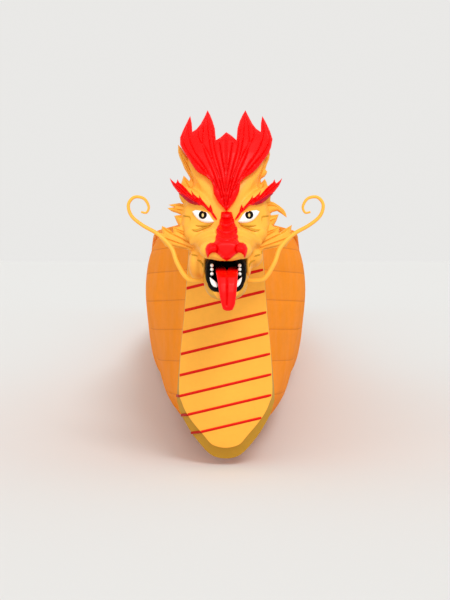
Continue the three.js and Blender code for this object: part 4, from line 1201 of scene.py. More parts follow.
NOSE_FOLDS = [
    [(220.5, 216.8), (223.4, 218.6), (226.3, 219.1), (229.4, 218.6), (232.4, 216.8)],
    [(219.4, 223.0), (222.6, 225.2), (226.3, 225.9), (230, 225.2), (233.8, 223.0)],
    [(217.2, 229.4), (221.6, 232.2), (226.4, 233.2), (231.4, 232.2), (236.6, 229.4)],
    [(216.4, 236.4), (221, 239.6), (226.6, 240.8), (232, 239.6), (237.2, 236.4)],
    [(213.6, 243.2), (216.6, 246), (217.6, 249.4), (216.6, 252.2)],
    [(239.4, 243.2), (236.4, 246), (235.4, 249.4), (236.4, 252.2)],
]
NOSE_CUT = {"spacing": 0.8, "front": (22, 6), "back": (50, 1.0), "edge": 2, "groove": (1.5, 7)}
NOSE_MIDDLE = 226.4
NOSE_RIDGE = by_row([
    (207, -66), (212, -84), (218, -112), (226, -150), (231, -186), (238, -222), (244, -240),
    (250, -248), (262, -242),
])


def nose_depth(px, py):
    """The ridge's depth, further back at its lower sides and further ahead at its wings."""
    aside = abs(px - NOSE_MIDDLE)
    back = 8 * min(max((aside - 10) / 7, 0), 1) * min(max((py - 240) / 5, 0), 1)
    wing = 16 * math.exp(-((aside - 15.5) ** 2 + (py - 248.4) ** 2) / 30)
    return NOSE_RIDGE(px, py) + 30 + back - wing


nose = plate(NOSE, on_surface(face, nose_depth, 1), grooves=NOSE_FOLDS, **NOSE_CUT)
carve("nose_carving", "dragon_red", nose, 0.5, replaces="nose")

CREST = [
    (180.3, 145.2), (180.2, 138), (183.2, 130.9), (187.3, 122.6), (190.4, 116.4), (191.9, 123.7),
    (192.5, 132.4), (196.6, 129.6), (200.6, 124.8), (204.4, 118), (207.6, 110.9), (210.2, 115.4),
    (212.6, 121.6), (214.9, 129), (216, 140.6), (220.5, 137.9), (226.2, 132.6), (232, 136.4),
    (236.4, 140.6), (237.4, 129), (239.6, 121.6), (242.4, 115.8), (245.3, 110.9), (248.6, 117.4),
    (252.2, 124.2), (256, 129.2), (260.6, 132.4), (260.8, 123.7), (262.1, 116.6), (265.8, 123),
    (269.8, 131.6), (272.4, 139.5), (271, 147.6), (268.6, 153.8), (263.5, 161), (257.8, 168.2),
    (253.5, 172.5), (246.3, 177.3), (240.6, 182.4), (239.2, 192), (234.9, 201.2), (226.5, 211.6),
    (217.9, 202), (213.9, 194.4), (213, 187), (211.4, 181.9), (206.3, 177), (198.6, 173),
    (195.5, 170), (190.4, 162.3), (185.9, 155.3), (182.4, 149.6),
]
CREST_STRANDS = [
    [(225, 206), (221, 186), (212.6, 158), (208.4, 134), (207.6, 115)],
    [(222, 198), (213, 172), (203.6, 148), (203.4, 130), (205.8, 119)],
    [(218, 190), (204, 166), (193.6, 150), (188.4, 134), (189.8, 120)],
    [(214, 182), (198, 164), (187.6, 151), (183, 140), (186, 127)],
    [(224.6, 192), (219.4, 168), (214.6, 150), (212, 130)],
    [(226.2, 202), (226.2, 172), (226.2, 137)],
    [(225.4, 176), (221.6, 156), (219.6, 143)],
    [(220, 178), (208, 152), (198.6, 138), (198.8, 129)],
]
CREST_STRANDS += [flip(s) for s in CREST_STRANDS]
CREST_CUT = {"spacing": 0.9, "front": (15, 4.5), "back": (34, 5.0), "edge": 3, "groove": (1.3, 5)}
HEART = [
    (226.5, 209.6), (219, 201), (215.2, 194), (214.2, 186.5), (213, 181.2), (214.6, 172), (212.8, 160),
    (217.6, 166.4), (220.2, 153), (217.6, 143.4), (221.4, 140.4), (226.2, 135.4), (231.4, 139.4),
    (235, 143.4), (232.8, 153), (235.2, 166.4), (239.6, 160), (238, 172), (239.4, 181.2), (237.8, 191.6),
    (233.8, 200.4),
]
CREST_ROWS = by_row([
    (111, 36), (126, -14), (140, -52), (153, -74), (169, -92), (181, -100), (195, -104), (213, -98),
])


def crest_depth(px, py):
    return CREST_ROWS(px, py) + 30 * ((px - FACE_MIDDLE) / 46) ** 2


crest, carved = plate(CREST, on_surface(face, crest_depth, 2), grooves=CREST_STRANDS, **CREST_CUT)
heart = inside(np.array([pixel_of(p) for p in crest[0]]), HEART)
# Painted shade in the strands' grooves, and a darker red inside the heart
tone = np.clip(carved * 0.3 + heart * 0.3, 0, 1)
piece("crest_carving", crest, "dragon_red", replaces="crest", shade=tone, sharp=50)

# Figurehead: brows, eyes, wrinkles and creases

BROW = [
    (169.9, 178.2), (172.6, 181), (175.8, 183.6), (176.8, 182), (177.7, 179.4), (179.3, 182.6),
    (182.1, 184.6), (185.9, 188.4), (189.7, 192.8), (192.6, 196), (191.8, 193), (191, 190.2),
    (193.6, 193.9), (197.2, 197.2), (199.4, 198.3), (199.2, 195.3), (201.9, 199.6), (206.3, 204.9),
    (209.1, 208.2), (209.6, 206.4), (210.5, 204.5), (212, 208.4), (212.9, 212), (215.2, 215.6),
    (217.2, 219), (216.1, 220), (213, 216.8), (210.4, 212.6), (208.2, 211.2), (205, 207.8),
    (201.2, 205), (199.6, 205.9), (194.8, 204.4), (189.7, 202.9), (186.5, 200.2), (182.1, 196.2),
    (177.6, 191.8), (173.1, 186), (171, 181.6),
]
BROW_STRANDS = [
    [(175, 184.5), (182, 190.5), (190, 198), (197, 202.6)],
    [(173.4, 184), (179.4, 191), (187, 198.6), (193, 202.4)],
    [(178.6, 183), (185.4, 190.4), (192.4, 197.6), (199, 202)],
    [(196, 198), (203, 204), (209, 209.6), (213.6, 216)],
]
BROW_CUT = {"spacing": 0.7, "front": (9, 2.4), "back": (9, 2.0), "edge": 2, "groove": (0.8, 3.5)}
# Outline of the painted shade under the brow
BROW_EDGE = [
    (178.4, 193.4), (183.6, 194.6), (189, 198.2), (194, 201.4), (199.4, 204.2), (198.6, 206),
    (194.6, 204.9), (189.6, 203.3), (186.2, 200.6), (182, 196.7),
]
BROW_EDGE_CUT = {"spacing": 0.8, "front": (1.5, 1.2)}
EYE = [
    (192.4, 211.6), (195.5, 210), (199, 210.3), (202.8, 211), (206.9, 212.1), (209.4, 214.6),
    (211.9, 218.4), (214.4, 221.7), (212.6, 222.7), (210.1, 223.3), (205.7, 222.9), (201.6, 221.9),
    (198.6, 220.1), (196.2, 217.8), (194, 214.9),
]
EYE_CENTRE, EYE_DEPTH, IRIS = (202.8, 214.9), -74, 4.15
SLIT, SLIT_TALL, SLIT_DOWN = 1.15, 1.7, 0.4
EYE_CUT = {"spacing": 0.7, "front": (14, 6.2)}
IRIS_CUT = {"spacing": 0.7, "front": (2.2, 2.0)}
SLIT_CUT = {"spacing": 0.4, "front": (1.2, 0.8)}
LID_CORNER, UPPER_LID, LOWER_LID = 7, 3.0, 2.4
WRINKLES = [
    [
        (195.2, 225), (200, 225.1), (204.8, 224.6), (209.7, 223.5), (213.9, 222.4), (212.1, 224.6),
        (207.9, 226.5), (202.4, 227), (197.6, 226.4),
    ],
    [
        (191.4, 229.4), (196.4, 229.2), (200.6, 227.9), (204.8, 227), (212.1, 225.4), (208.5, 227.6),
        (204.2, 229.2), (201.2, 230.6), (197, 231.8), (193.3, 231),
    ],
]
WRINKLE_CUT = {"spacing": 0.6, "front": (3.0, 1.1)}
# Creases: line and width
CREASES = [
    ([(179.1, 228.6), (180, 233.5), (181.8, 238.9), (184.8, 243.2), (186.1, 246.8)], 4.0),
    ([(184.8, 243.2), (186.6, 245), (188.2, 245.4)], 3.0),
    ([(186.4, 249.5), (190.3, 251.7), (190.2, 254.6)], 3.4),
    ([(191.5, 254.4), (194.6, 255.2), (197.9, 256.5)], 3.4),
    ([(196.4, 259.8), (200, 261.1), (202.4, 263.8), (203, 267.4)], 4.0),
    ([(183, 215.9), (188.5, 216.5), (190.3, 217.3), (190.3, 221.6)], 3.0),
]
brow_depth = by_side([(8, -60), (20, -66), (30, -74), (42, -60), (58, -22)])
eye_depth = lambda px, py: HEAD[1] + EYE_DEPTH
anywhere = lambda px, py: HEAD[1] + 100


def ring_outline(px, py, radius, squash=1.0):
    a = np.linspace(0, FULL_TURN, 26, endpoint=False)
    return [(px + radius * math.cos(b), py + radius * squash * math.sin(b)) for b in a]


def laid(line, width, tree, deep=0.4):
    """A tapered raised line along a skin, from picture points, unless it runs beside the skin."""
    points = [(px, py, struck(tree, px, py)) for px, py in curve(line, 14)]
    points = [seen(px, py, y + width * deep) for px, py, y in points if y is not None]
    radii = [width * share for share in (0.25, 0.9, 1, 0.9, 0.25)]
    return [tube(points, radii, 24, 8)] if len(points) > 3 else []


def brow_pieces(side, turn):
    """The flame over one eye, and a plate of painted shade on its underside."""
    strands = [turn(line) for line in BROW_STRANDS]
    shape = plate(turn(BROW), on_surface(face, brow_depth, 1.0), grooves=strands, **BROW_CUT)
    brow = carve(f"brow_carving_{side}", "dragon_red", shape, 0.6, replaces=f"brow_{side}")
    shape = plate(turn(BROW_EDGE), on_surface(tree_of(brow), brow_depth, GAP), **BROW_EDGE_CUT)
    carve(f"brow_underside_{side}", "dragon_red", shape, material=BROW_SHADE)


def eye_pieces(side, turn):
    """Eyeball, iris, slit pupil and lids of one side."""
    rim = turn(EYE)
    shape = plate(rim, on_surface(face, eye_depth, -1.0), **EYE_CUT)
    eye = carve(f"eyeball_{side}", "eye_white", shape, sharp=60, replaces=f"eye_{side}")
    px, py = turn([EYE_CENTRE])[0]
    shape = plate(ring_outline(px, py, IRIS), on_surface(tree_of(eye), eye_depth, GAP), **IRIS_CUT)
    iris = carve(f"iris_{side}", "mouth_black", shape, sharp=60)
    slit = ring_outline(px, py + SLIT_DOWN, SLIT, SLIT_TALL)
    shape = plate(slit, on_surface(tree_of(iris), eye_depth, GAP), **SLIT_CUT)
    carve(f"pupil_{side}", "eye_white", shape, sharp=60, material=GOLD_EYE)
    whole_face = tree_of(head, eye)
    lids = laid(rim[: LID_CORNER + 1], UPPER_LID, whole_face)
    lids += laid(rim[LID_CORNER:] + rim[:1], LOWER_LID, whole_face)
    piece(f"eyelids_{side}", together(lids), "head_amber", sharp=60)


def face_lines(side, turn):
    """Wrinkles under one eye and creases of one cheek, in ochre: painted shade of the folds."""
    put = on_surface(face, anywhere, 1.2)
    folds = [plate(turn(line), put, **WRINKLE_CUT)[0] for line in WRINKLES]
    for line, width in CREASES:
        folds += laid(turn(line), width, skull, 0.25)
    piece(f"face_lines_{side}", together(folds), "head_amber", material=WRINKLE, sharp=60)


for side, turn in (("starboard", list), ("port", flip)):
    brow_pieces(side, turn)
    eye_pieces(side, turn)
    face_lines(side, turn)

# Figurehead: temple lobes and cheek frills, as the picture shows each side

EARS = {
    "starboard": [
        (178.2, 145.1), (178.2, 152.8), (179.5, 157.2), (182.1, 163), (184.6, 169.3), (187.8, 174.4),
        (190.4, 178.8), (189.3, 181.4), (186.5, 178.4), (183.7, 175.8), (182.6, 179.5), (181.3, 183.4),
        (180.5, 189), (178.9, 193.6), (179.5, 197.4), (181.4, 201.6), (183.7, 204.2), (179.5, 203.1),
        (173.1, 204.1), (168.6, 204.9), (171.4, 206.3), (174.4, 207.1), (171.2, 207.6), (167.6, 208.2),
        (169.9, 210.3), (173.1, 212.1), (176.6, 213), (181.2, 214.9), (177.6, 215.2), (174.2, 215.9),
        (176.3, 221), (178.2, 224.8), (179.5, 226.6), (200, 226), (206, 190), (206, 180), (198.6, 173.2),
        (190.4, 162.3), (185.9, 155.3), (181.4, 148.3),
    ],
    "port": [
        (269.2, 151.4), (269.9, 154.7), (268.9, 159.8), (267, 164.2), (265.4, 169.3), (267.2, 172.2),
        (266.4, 174.4), (264.5, 177), (261.3, 178.9), (259.2, 182.1), (260.4, 184), (262.5, 181.5),
        (264.8, 179.1), (266.4, 182.1), (267.3, 185.3), (270, 190), (270.8, 194.8), (270.2, 200),
        (270.6, 201.4), (274, 202.5), (279.1, 205.7), (283.6, 209.5), (285.8, 213.3), (286.8, 217.7),
        (284.2, 215.9), (281.7, 214), (279.1, 212.4), (277.2, 211.1), (272.7, 212.1), (267.4, 215.7),
        (271.6, 215.2), (278.7, 214.4), (276.6, 220.4), (273.4, 226.3), (252, 226), (247, 190),
        (246, 178), (253.5, 172.5), (257.8, 168.2), (263.5, 161), (268.6, 153.8),
    ],
}
FRILLS = {
    "starboard": [
        (173.1, 225.9), (172.8, 232.7), (169.9, 229.9), (165.5, 227.4), (162.1, 225.9), (161.6, 229),
        (162.1, 233.3), (160.2, 232.8), (157.6, 233.6), (159.6, 238.6), (162.8, 242.2), (165.3, 246),
        (169.1, 248), (174.2, 247.6), (180, 248.2), (186.4, 249.4), (190.2, 251.6), (202, 252),
        (202, 230), (182, 222), (179.4, 226.6), (175.8, 227.2),
    ],
    "port": [
        (278.8, 225.9), (279.4, 232.7), (284.2, 229.3), (288, 227), (291.8, 224.9), (291.2, 229),
        (290.9, 233.3), (292.4, 232.4), (294.6, 233.6), (292, 238.6), (288.8, 242.2), (286.2, 246),
        (282.4, 248), (277.4, 247.6), (271.6, 248.2), (265.2, 249.4), (261.4, 251.6), (250, 252),
        (250, 230), (270, 222), (273.4, 226.4), (276, 227.2),
    ],
}
EAR_STRANDS = {
    "starboard": [
        [(200, 196), (192, 178), (184.6, 163), (179.6, 150)],
        [(198, 184), (190, 169), (182.6, 156)],
        [(196, 198), (189.6, 188), (184.6, 179.4)],
        [(196, 212), (186, 206.6), (176, 205.4), (171, 205.2)],
        [(196, 218), (184, 211.2), (176, 209.4), (170.4, 208.8)],
        [(194, 224), (184, 218), (177, 216.6)],
    ],
    "port": [
        [(252, 196), (259, 178), (265, 164), (268.6, 155)],
        [(254, 186), (261, 171), (266, 159)],
        [(256, 200), (261.6, 190), (264.6, 182)],
        [(256, 210), (268, 205.6), (277, 207.2), (284.6, 214.2)],
        [(256, 206), (268, 203.2), (276.4, 205.2), (283.6, 211)],
        [(258, 218), (267, 217.6), (275.6, 216)],
        [(260, 224), (268, 222), (274.4, 219.4)],
    ],
}
FRILL_STRANDS = {
    "starboard": [
        [(192, 244), (180, 238), (170, 233), (163.6, 228.4)],
        [(194, 238), (184, 232.4), (175.4, 229)],
        [(192, 248), (178, 243), (166, 238.6), (160, 235.6)],
        [(188, 249), (176, 246.4), (167.4, 243.6)],
        [(186, 236), (178, 231.6), (173.8, 228)],
    ]
}
FRILL_STRANDS["port"] = [flip(s) for s in FRILL_STRANDS["starboard"]]
EAR_CUT = {"spacing": 0.9, "front": (17, 4.2), "back": (17, 4.2), "edge": 2, "groove": (1.0, 5.5)}
FRILL_CUT = {"spacing": 0.9, "front": (16, 4.0), "back": (16, 4.0), "edge": 2, "groove": (1.0, 5.5)}
ear_put = leaning(by_side([(34, -6), (66, 30)]))
frill_put = leaning(by_side([(34, -18), (66, 12)]))

for side in ("starboard", "port"):
    ear = plate(EARS[side], ear_put, grooves=EAR_STRANDS[side], **EAR_CUT)
    carve(f"ear_carving_{side}", "head_amber", ear, 0.4, replaces=f"ear_{side}")
    frill = plate(FRILLS[side], frill_put, grooves=FRILL_STRANDS[side], **FRILL_CUT)
    carve(f"frill_carving_{side}", "head_amber", frill, 0.4, replaces=f"cheek_frill_{side}")

# Figurehead: whiskers, tongue, teeth and tusks

WHISKER = [
    [62, -52, -226], [98, -66, -227], [130, -74, -219], [164, -72, -167], [184, -60, -116],
    [229, -50, -70], [284, -44, -38], [321, -40, -6], [331, -38, 31], [312, -36, 56],
    [279, -36, 52], [262, -36, 24], [270, -36, 4], [288, -36, 6],
]
WHISKER_RADII = [8, 8, 7.8, 7.4, 6.8, 6.2, 5.6, 5, 3.4]
whisker = tube(at_head(WHISKER), WHISKER_RADII, count=120, sides=16)
piece("whisker_curl_port", whisker, "head_amber", replaces="whisker_port")
piece("whisker_curl_starboard", mirrored(whisker), "head_amber", replaces="whisker_starboard")

TONGUE = [
    (216, 272), (215.7, 269), (216.6, 266.8), (219, 265.8), (222, 266), (224.8, 267.2), (226.9, 270.6),
    (229, 267.2), (231.8, 266), (234.8, 265.8), (237.2, 266.8), (238.2, 269), (237.9, 273), (237.5, 280),
    (236.9, 288), (236.1, 297), (235, 304.6), (232.8, 309.8), (229.6, 310.9), (226.2, 310.9),
    (222.9, 309.4), (221.3, 304), (219.9, 297.6), (218.7, 290), (217.4, 280),
]
TONGUE_CUT = {"spacing": 0.8, "front": (10, 4.5), "back": (10, 4.5), "edge": 3, "groove": (1.5, 4.5)}
TONGUE_FOLD = [(226.9, 272), (227, 284), (227, 298), (226.8, 305)]
tongue_depth = by_row([
    (265.8, -16), (267.4, -80), (269.6, -140), (272, -190), (277, -216), (284, -228), (292, -233),
    (312, -234),
])
tongue = plate(TONGUE, leaning(tongue_depth), grooves=[TONGUE_FOLD], **TONGUE_CUT)
carve("tongue_carving", "tongue_red", tongue, 0.7, replaces="tongue")

TOOTH = (6, 9, 6)
TEETH = [(46, -154, -174), (46, -156, -187), (46, -158, -202)]
TUSK = [
    (209.6, 277), (212, 278.6), (215, 281), (217.5, 283.6), (218, 286), (216.8, 287.6), (213.6, 286.8),
    (211.4, 284.4), (210.2, 281.2),
]
TUSK_CUT = {"spacing": 0.6, "front": (9, 2.6), "back": (9, 2.6), "edge": 1}
tusk_depth = by_row([(277, -182), (288, -196)])
teeth = [ball(at_head(place), TOOTH) for place in TEETH]
teeth.append(plate(TUSK, leaning(tusk_depth), **TUSK_CUT)[0])
piece("teeth_and_tusks", together(both(teeth)), "eye_white", sharp=60)

# Neck and mane

# Columns: y, height of the foot, half width, height of the back
NECK = np.array([
    [-5612, 880, 8, 886],
    [-5640, 882, 36, 914],
    [-5760, 884, 60, 958],
    [-5950, 893, 78, 1022],
    [-6150, 902, 96, 1082],
    [-6290, 903, 108, 1100],
    [-6350, 912, 100, 1084],
], float)
NECK_BACK, NECK_FRONT = NECK[0, 0], NECK[-1, 0]
NECK_SCALES = {"row": 34, "across": 11, "low": -5, "high": 6.5}

rings, shades = [], []
a = np.linspace(0, math.pi, 121)
for y, foot, half, back in smooth_rows(NECK, 190):
    rows = np.full(a.shape, (y - NECK_FRONT) / NECK_SCALES["row"])
    raised = scale_height(rows, a / math.pi * NECK_SCALES["across"])
    taper = min(1, (y - NECK_FRONT) / 40 + 0.4) * min(1, (NECK_BACK - y) / 40 + 0.1)
    grow = NECK_SCALES["low"] + NECK_SCALES["high"] * raised * taper
    x = (half + grow) * np.cos(a)
    z = foot + (back - foot + grow) * np.sin(a) ** 0.8
    ring = np.column_stack([x, np.full(a.shape, y), z])
    rings.append(np.vstack([ring, [[-half + 8, y, foot - 6], [half - 8, y, foot - 6]]]))
    shades.append(np.r_[scale_shade(raised), 0, 0])
neck_shade = np.concatenate(shades)
piece("neck_scales", loft(rings), "head_amber", replaces="neck", shade=neck_shade, sharp=70)


FIN_CUT = {"spacing": 6.0, "edge": 3, "groove": (7, 4)}
FIN_ROUND, FLAME_BOW = 34, 0.22


def bowed(p, q, by):
    """Points from p until just before q on a curve that bows out by a share of the way."""
    p, q = np.array(p, float), np.array(q, float)
    middle = (p + q) / 2 + by * np.array([-(q[1] - p[1]), q[0] - p[0]])
    steps = np.linspace(0, 1, 9)[:-1]
    return [tuple((1 - t) ** 2 * p + 2 * t * (1 - t) * middle + t * t * q) for t in steps]


def fin(name, foot, flames, thick, replaces):
    """A row of flames in the plane of y and z. Rows of flames: valley y, z and tip y, z."""
    outline, strands = [], []
    for row, following in zip(flames, flames[1:]):
        outline += bowed(row[:2], row[2:], FLAME_BOW) + bowed(row[2:], following[:2], -FLAME_BOW)
        valley, tip, after = (np.array(p, float) for p in (row[:2], row[2:], following[:2]))
        middle = (valley + after) / 2
        for share in (0.3, 0.62):
            start = valley * (1 - share) + after * share
            root = start + (start - tip) * 0.25
            way = tip - start
            bend = start * 0.5 + tip * 0.5 + 0.1 * np.array([-way[1], way[0]])
            strands.append([root, start, bend, tip * 0.93 + middle * 0.07])
    outline += [tuple(flames[-1]), *foot]
    rounding = (thick / 2 - FIN_CUT["edge"] / 2, FIN_ROUND)
    put = lambda y, z, h: (h, y, z)
    shape = plate(outline, put, front=rounding, back=rounding, grooves=strands, **FIN_CUT)
    carve(name, "dragon_red", shape, 0.5, replaces=replaces)


NAPE = [
    [-6330, 1130, -6230, 1232], [-6210, 1124, -6100, 1214], [-6085, 1086, -5970, 1172],
    [-5955, 1044, -5840, 1116], [-5840, 1002, -5720, 1058], [-5715, 956, -5610, 992], [-5610, 922],
]
NAPE_FOOT = [(-5650, 900), (-5850, 950), (-6050, 1010), (-6330, 1060)]
fin("nape_flames", NAPE_FOOT, NAPE, 30, "nape_mane")

# Tail

TAIL_PATH = [
    (0, 5850, 740), (0, 5905, 900), (0, 6100, 1010), (0, 6330, 1110), (0, 6430, 1290),
    (0, 6370, 1470), (0, 6230, 1560),
]
TAIL_RADII = [80, 78, 68, 58, 46, 34, 12]
TAIL_SCALES = {"row": 36, "round": 12, "low": -5, "high": 7, "first_row": 40}
TIP_SHARE = 0.02
tail_path = curve(TAIL_PATH, 240)
tail_length = lengths(tail_path)[-1]
around = np.linspace(0, FULL_TURN, 120, endpoint=False)


def tail_raised(t):
    """Height of the scales round the tail at a share of its way."""
    rows = np.full(around.shape, (1 - t) * tail_length / TAIL_SCALES["row"] + TAIL_SCALES["first_row"])
    return scale_height(rows, around / FULL_TURN * TAIL_SCALES["round"])


def tail_ring(t):
    radius = float(smooth(np.linspace(0, 1, 7), TAIL_RADII, t)[0])
    past = max(t - (1 - TIP_SHARE), 0) / TIP_SHARE
    radius *= math.sqrt(max(1 - past**2, 0.002))
    size = radius / TAIL_RADII[0]
    r = radius + TAIL_SCALES["low"] * size + TAIL_SCALES["high"] * size * tail_raised(t)
    return np.column_stack([np.cos(around) * r, np.sin(around) * r])


tail = sweep(tail_path, tail_ring)
last = len(tail_path) - 1
tail_shade = np.concatenate([scale_shade(tail_raised(i / last)) for i in range(last + 1)])
piece("tail_scales", tail, "head_amber", replaces="tail", shade=tail_shade, sharp=70)
TAIL_FLAMES = [
    [6230, 1000, 6440, 990], [6400, 1085, 6610, 1130], [6490, 1210, 6690, 1330], [6500, 1350, 6650, 1540],
    [6450, 1470, 6540, 1690], [6350, 1560, 6380, 1770], [6260, 1600, 6180, 1760], [6200, 1590],
]
TAIL_FOOT = [tuple(p[1:]) for p in tail_path[-12:98:-9]]
fin("tail_flame_fin", TAIL_FOOT, TAIL_FLAMES, 34, "tail_flames")

# Drum and seat

DRUM = np.array([0, BOW_Y + 2050, 212.3])
STAND = 230.3
SKIN = STAND + 370.3
STAVES, GROOVE_DEPTH, GROOVE_NARROWNESS = 20, 1.6, 40
FOLDS, FOLD_HEIGHT, FOLDED = 24, 0.8, (-50, -30)
# Profiles: radius and height
BARREL = [(196, 0), (222, 60), (236, 140), (236, 230), (222, 310), (196, 370)]
BELLY = 236
HIDE = [
    (0, -0.3), (196, -0.5), (199, -20), (206, -44), (211, -46), (212.5, -44), (209, -22),
    (206.5, -4), (204, 5.5), (196, 10.5), (178, 12.6), (120, 13.6), (0, 14),
]
TACKS, TACK = 44, (6.2, 6.2, 6.2)
HOOP, HOOP_SIDES = 3.2, 97
CARRYING_RING, CARRYING_ROD, BOSS = 34, 4.2, (13, 13, 13)
RING_HEIGHT, RING_HANGS, RING_OUT, BOSS_OUT = 205, 30, 9, 2


def stave_grooves(a, z):
    away = np.abs(((a / FULL_TURN * STAVES + 0.5) % 1) - 0.5)
    return -GROOVE_DEPTH * np.clip(1 - away * GROOVE_NARROWNESS, 0, 1)


def hide_folds(a, z):
    return FOLD_HEIGHT * np.sin(a * FOLDS) * (1 if FOLDED[0] < z < FOLDED[1] else 0)


def round_drum(radius, a, z):
    return DRUM + [radius * math.cos(a), radius * math.sin(a), z]


def drum_rings():
    """A carrying ring on a boss at each side."""
    parts = []
    b = np.linspace(0, FULL_TURN, 41)
    across, up = np.cos(b) * CARRYING_RING, np.sin(b) * CARRYING_RING - RING_HANGS
    for a in (0.0, math.pi):
        out = np.array([math.cos(a), math.sin(a), 0])
        side = np.array([-math.sin(a), math.cos(a), 0])
        base = DRUM + out * BELLY + [0, 0, STAND + RING_HEIGHT]
        path = base + out * RING_OUT + np.outer(across, side) + np.outer(up, [0, 0, 1])
        parts.append(sweep(path, lambda t: circle(CARRYING_ROD, 10)))
        parts.append(ball(base + out * BOSS_OUT, BOSS, rings=12, sides=18))
    return parts


barrel = [(0, 0), (185, 0), (190, 0), *smooth_rows(BARREL, 40), (188, 370), (0, 370)]
barrel = lathe(barrel, 240, DRUM + [0, 0, STAND], stave_grooves)
piece("drum_barrel", barrel, "drum_red", replaces="drum_shell", sharp=35)
cowhide = lathe(HIDE, 192, DRUM + [0, 0, SKIN], hide_folds)
piece("drum_hide", cowhide, "drum_skin", replaces="drum_head", sharp=60)
studs = []
for row, (radius, z) in enumerate([(208.2, -14), (211.4, -32)]):
    for k in range(TACKS):
        centre = round_drum(radius, FULL_TURN * (k + 0.5 * row) / TACKS, SKIN + z)
        studs.append(ball(centre, TACK, rings=7, sides=10))
for z, radius in ((52, 221), (318, 220.5)):
    path = [round_drum(radius, a, z + STAND) for a in np.linspace(0, FULL_TURN, HOOP_SIDES)]
    studs.append(sweep(path, lambda t: circle(HOOP, 8, 2.4)))
piece("drum_studs", together(studs), "dull_steel", material=BRASS)
piece("drum_rings", together(drum_rings()), "dull_steel")
eased("drum_stand", "pale_wood", 3.0, material=UPRIGHT_WOOD)
eased("drummer_seat_frame", "pale_wood", 3.0, material=UPRIGHT_WOOD)

SEAT = np.array([0, BOW_Y + 1330, 212.3])
SLATS, SLAT_PITCH, SLAT_WIDE, SLAT_HALF = 4, 77.5, 74.5, 184.5
FIRST_SLAT, SLAT_LOW, SLAT_HIGH = -154, 430.4, 459.6
slats = []
for y in FIRST_SLAT + np.arange(SLATS) * SLAT_PITCH:
    corner = SEAT + [SLAT_HALF, y + SLAT_WIDE, SLAT_HIGH]
    slats.append(block(SEAT + [-SLAT_HALF, y, SLAT_LOW], corner, 5))
tones = board_tones(slats)
piece("drummer_seat_slats", together(slats), "pale_wood", replaces="drummer_seat", shade=tones)

# Steering gear

PIVOT = np.array([350.0, 5555.0, 863.489])
TILT = math.radians(-30)
BEAM_TOP, BOLT, BOLT_ROWS = -100, 11, (-16, 16)
CHEEK, WASHER_SIDES = 42, 32
UPRIGHT, ALONG, ACROSS = (0, 1, 2), (0, 2, 1), (2, 1, 0)
# Profiles: radius, and distance along the turned piece
BOLT_WASHER = [(0, 0.2), (BOLT + 6, 0.2), (BOLT + 6, 2.4), (0, 2.4)]
BOLT_HEAD = [(0, 2.4), (BOLT, 2.4), (BOLT, 9), (BOLT - 1.6, 10.6), (0, 10.6)]
WASHER = [(9.2, 0), (15.5, 0), (15.5, 1.6), (14.5, 2.4), (10, 2.4), (9.2, 1.6)]
SHAFT = [
    (0, -950), (19, -949), (20, -944), (20, -880), (20.5, -400), (20, -60), (20, 60), (20, 1400),
    (19, 1560), (0, 1568),
]
COLLAR = [(0, -46), (20, -46), (25.5, -45), (27, -42), (27, 42), (25.5, 45), (20, 46), (0, 46)]
SOCKET = [(0, -880), (20, -880), (23.5, -884), (25, -892), (25, -948), (23, -950), (0, -950)]
GRIP = [(0, -62), (11, -61), (14.5, -56), (15, -46), (14, 0), (15, 46), (14.5, 56), (11, 61), (0, 62)]
GRIP_AT = -950
PINS = [(0, -41), (7, -41), (8, -40), (8, 40), (7, 41), (0, 41)]
BLADE_RIB = [(0, 1390), (24, 1392), (27, 1400), (26.5, 1500), (20, 1600), (8.5, 1700), (0, 1720)]
# Rows: distance aft and half height of the blade
BLADE = [(1400, 26), (1455, 34), (1520, 66), (1590, 90), (1850, 95), (2150, 97)]
BLADE_CUT = {"spacing": 9.0, "front": (5.2, 60), "back": (5.2, 60), "edge": 5}


def turned(profile, sides, axes, at=(0, 0, 0)):
    """A lathe that lies along an axis, moved to a place."""
    points, faces = lathe(profile, sides)
    return points[:, axes] + at, faces


def in_oar(part):
    """From the oar's own frame, where it lies along Y with the blade aft, to its place at rest."""
    x, y, z = np.asarray(part[0], float).T
    c, s = math.cos(TILT), math.sin(TILT)
    return np.column_stack([x, y * c - z * s, y * s + z * c]) + PIVOT, part[1]


def oarlock_washers():
    """A washer on the outside of each cheek. Its last faces line the bore."""
    points, faces = turned(WASHER, WASHER_SIDES, ACROSS, [CHEEK, 0, 0])
    last = (len(WASHER) - 1) * WASHER_SIDES
    for i in range(WASHER_SIDES):
        k = (i + 1) % WASHER_SIDES
        faces.append((i, k, last + k, last + i))
    points, faces = together(both([(points, faces)]))
    return points + PIVOT, faces


def beam_bolts():
    """Two bolts with washers through each gunwale."""
    beside = half_section(PIVOT[1] - BOW_Y)[-1][0] - SHELL / 2
    bolts = []
    for x in (-beside, beside):
        for y in BOLT_ROWS:
            at = PIVOT + [x - PIVOT[0], y, BEAM_TOP]
            bolts += [turned(BOLT_WASHER, 28, UPRIGHT, at), turned(BOLT_HEAD, 6, UPRIGHT, at)]
    return together(bolts)


def oar_blade():
    edge = smooth_rows(BLADE, 34)
    outline = [(y, z) for y, z in edge] + [(y, -z) for y, z in edge[::-1]]
    board = plate(outline, lambda u, v, h: (h, u, v), **BLADE_CUT)[0]
    return in_oar(together([board, turned(BLADE_RIB, 32, ALONG)]))


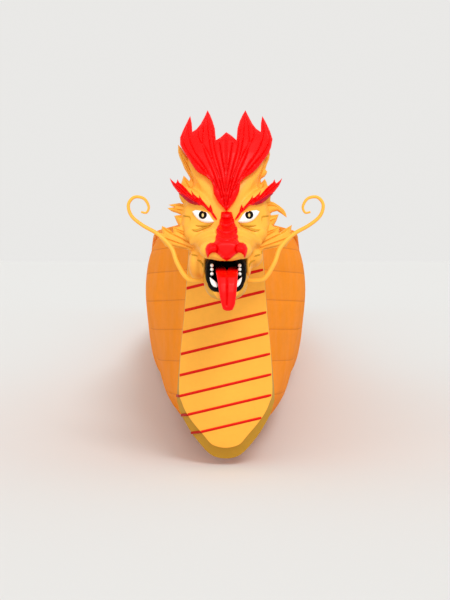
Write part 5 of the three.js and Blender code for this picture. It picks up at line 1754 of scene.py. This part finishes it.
eased("oar_beam", "dull_steel", 2.0)
eased("oarlock", "dull_steel", 1.0, body="oarlock")
piece("beam_bolts", beam_bolts(), "dull_steel")
piece("oarlock_washers", oarlock_washers(), "dull_steel", body="oarlock")
loom = in_oar(together([turned(SHAFT, 40, ALONG), turned(GRIP, 32, ACROSS, [0, GRIP_AT, 0])]))
fittings = [turned(COLLAR, 40, ALONG), turned(SOCKET, 40, ALONG), turned(PINS, 24, ACROSS)]
wooden = {"slot": "pale_wood", "body": "oar", "material": LONG_WOOD}
piece("oar_loom", loom, replaces="oar_shaft", **wooden)
piece("oar_fittings", in_oar(together(fittings)), "dull_steel", body="oar")
piece("oar_blade_board", oar_blade(), replaces="oar_blade", sharp=50, **wooden)

# Floor, light and camera

FLOOR_REACH, FLOOR_COLOUR = 60000, (0.69, 0.69, 0.68, 1)
SKY, SKY_STRENGTH = (1.0, 0.99, 0.97, 1), 0.82
SENSOR, SEEN_TO = 36, 200


def waterline():
    """The hull's outline at the water, in the middle of its planking, as points round the boat."""
    port = []
    for s in np.linspace(0, HULL_LENGTH, 160):
        section = half_section(s, SHELL / 2)
        if section[0, 1] < 0:
            port.append((float(np.interp(0, section[:, 1], section[:, 0])), y_at(s, 0)))
    return port + [(-x, y) for x, y in port[::-1]]


def water_floor():
    """A floor at the waterline with a hole where the hull is."""
    reach, rim = FLOOR_REACH, waterline()
    points = [(-reach, -reach), (reach, -reach), (reach, reach), (-reach, reach)] + rim
    loops = [list(range(4)), list(range(4, len(points)))]
    found = delaunay_2d_cdt([Vector(p) for p in points], [], loops, 0, 1e-4)
    faces = [f for f, origin in zip(found[2], found[5]) if 1 not in origin]
    mesh = new_mesh("floor", [(x * MM, y * MM, 0) for x, y in found[0]], faces)
    mesh.materials.append(Shader("pale_floor", Roughness=0.9, Base_Color=FLOOR_COLOUR).material)
    new_object("floor", mesh)


def sun(name, energy, turn, angle):
    data = bpy.data.lights.new(name, "SUN")
    data.energy, data.angle = energy, angle
    new_object(name, data).rotation_euler = [math.radians(v) for v in turn]


water_floor()
sun("key", 1.72, (54, 19, 0), 0.3)
sun("fill", 0.66, (62, -44, 0), 0.8)
scene = bpy.context.scene
scene.world = bpy.data.worlds.new("studio")
scene.world.use_nodes = True
sky = scene.world.node_tree.nodes["Background"].inputs
sky["Color"].default_value = SKY
sky["Strength"].default_value = SKY_STRENGTH

camera = new_object("camera", bpy.data.cameras.new("camera"))
camera.location = [c * MM for c in CAMERA]
camera.rotation_euler = (math.radians(90 - CAMERA_TILT), 0, 0)
camera.data.lens = FOCAL / FRAME_HIGH * SENSOR
camera.data.clip_end = SEEN_TO
scene.camera = camera
scene.view_settings.view_transform = "Standard"
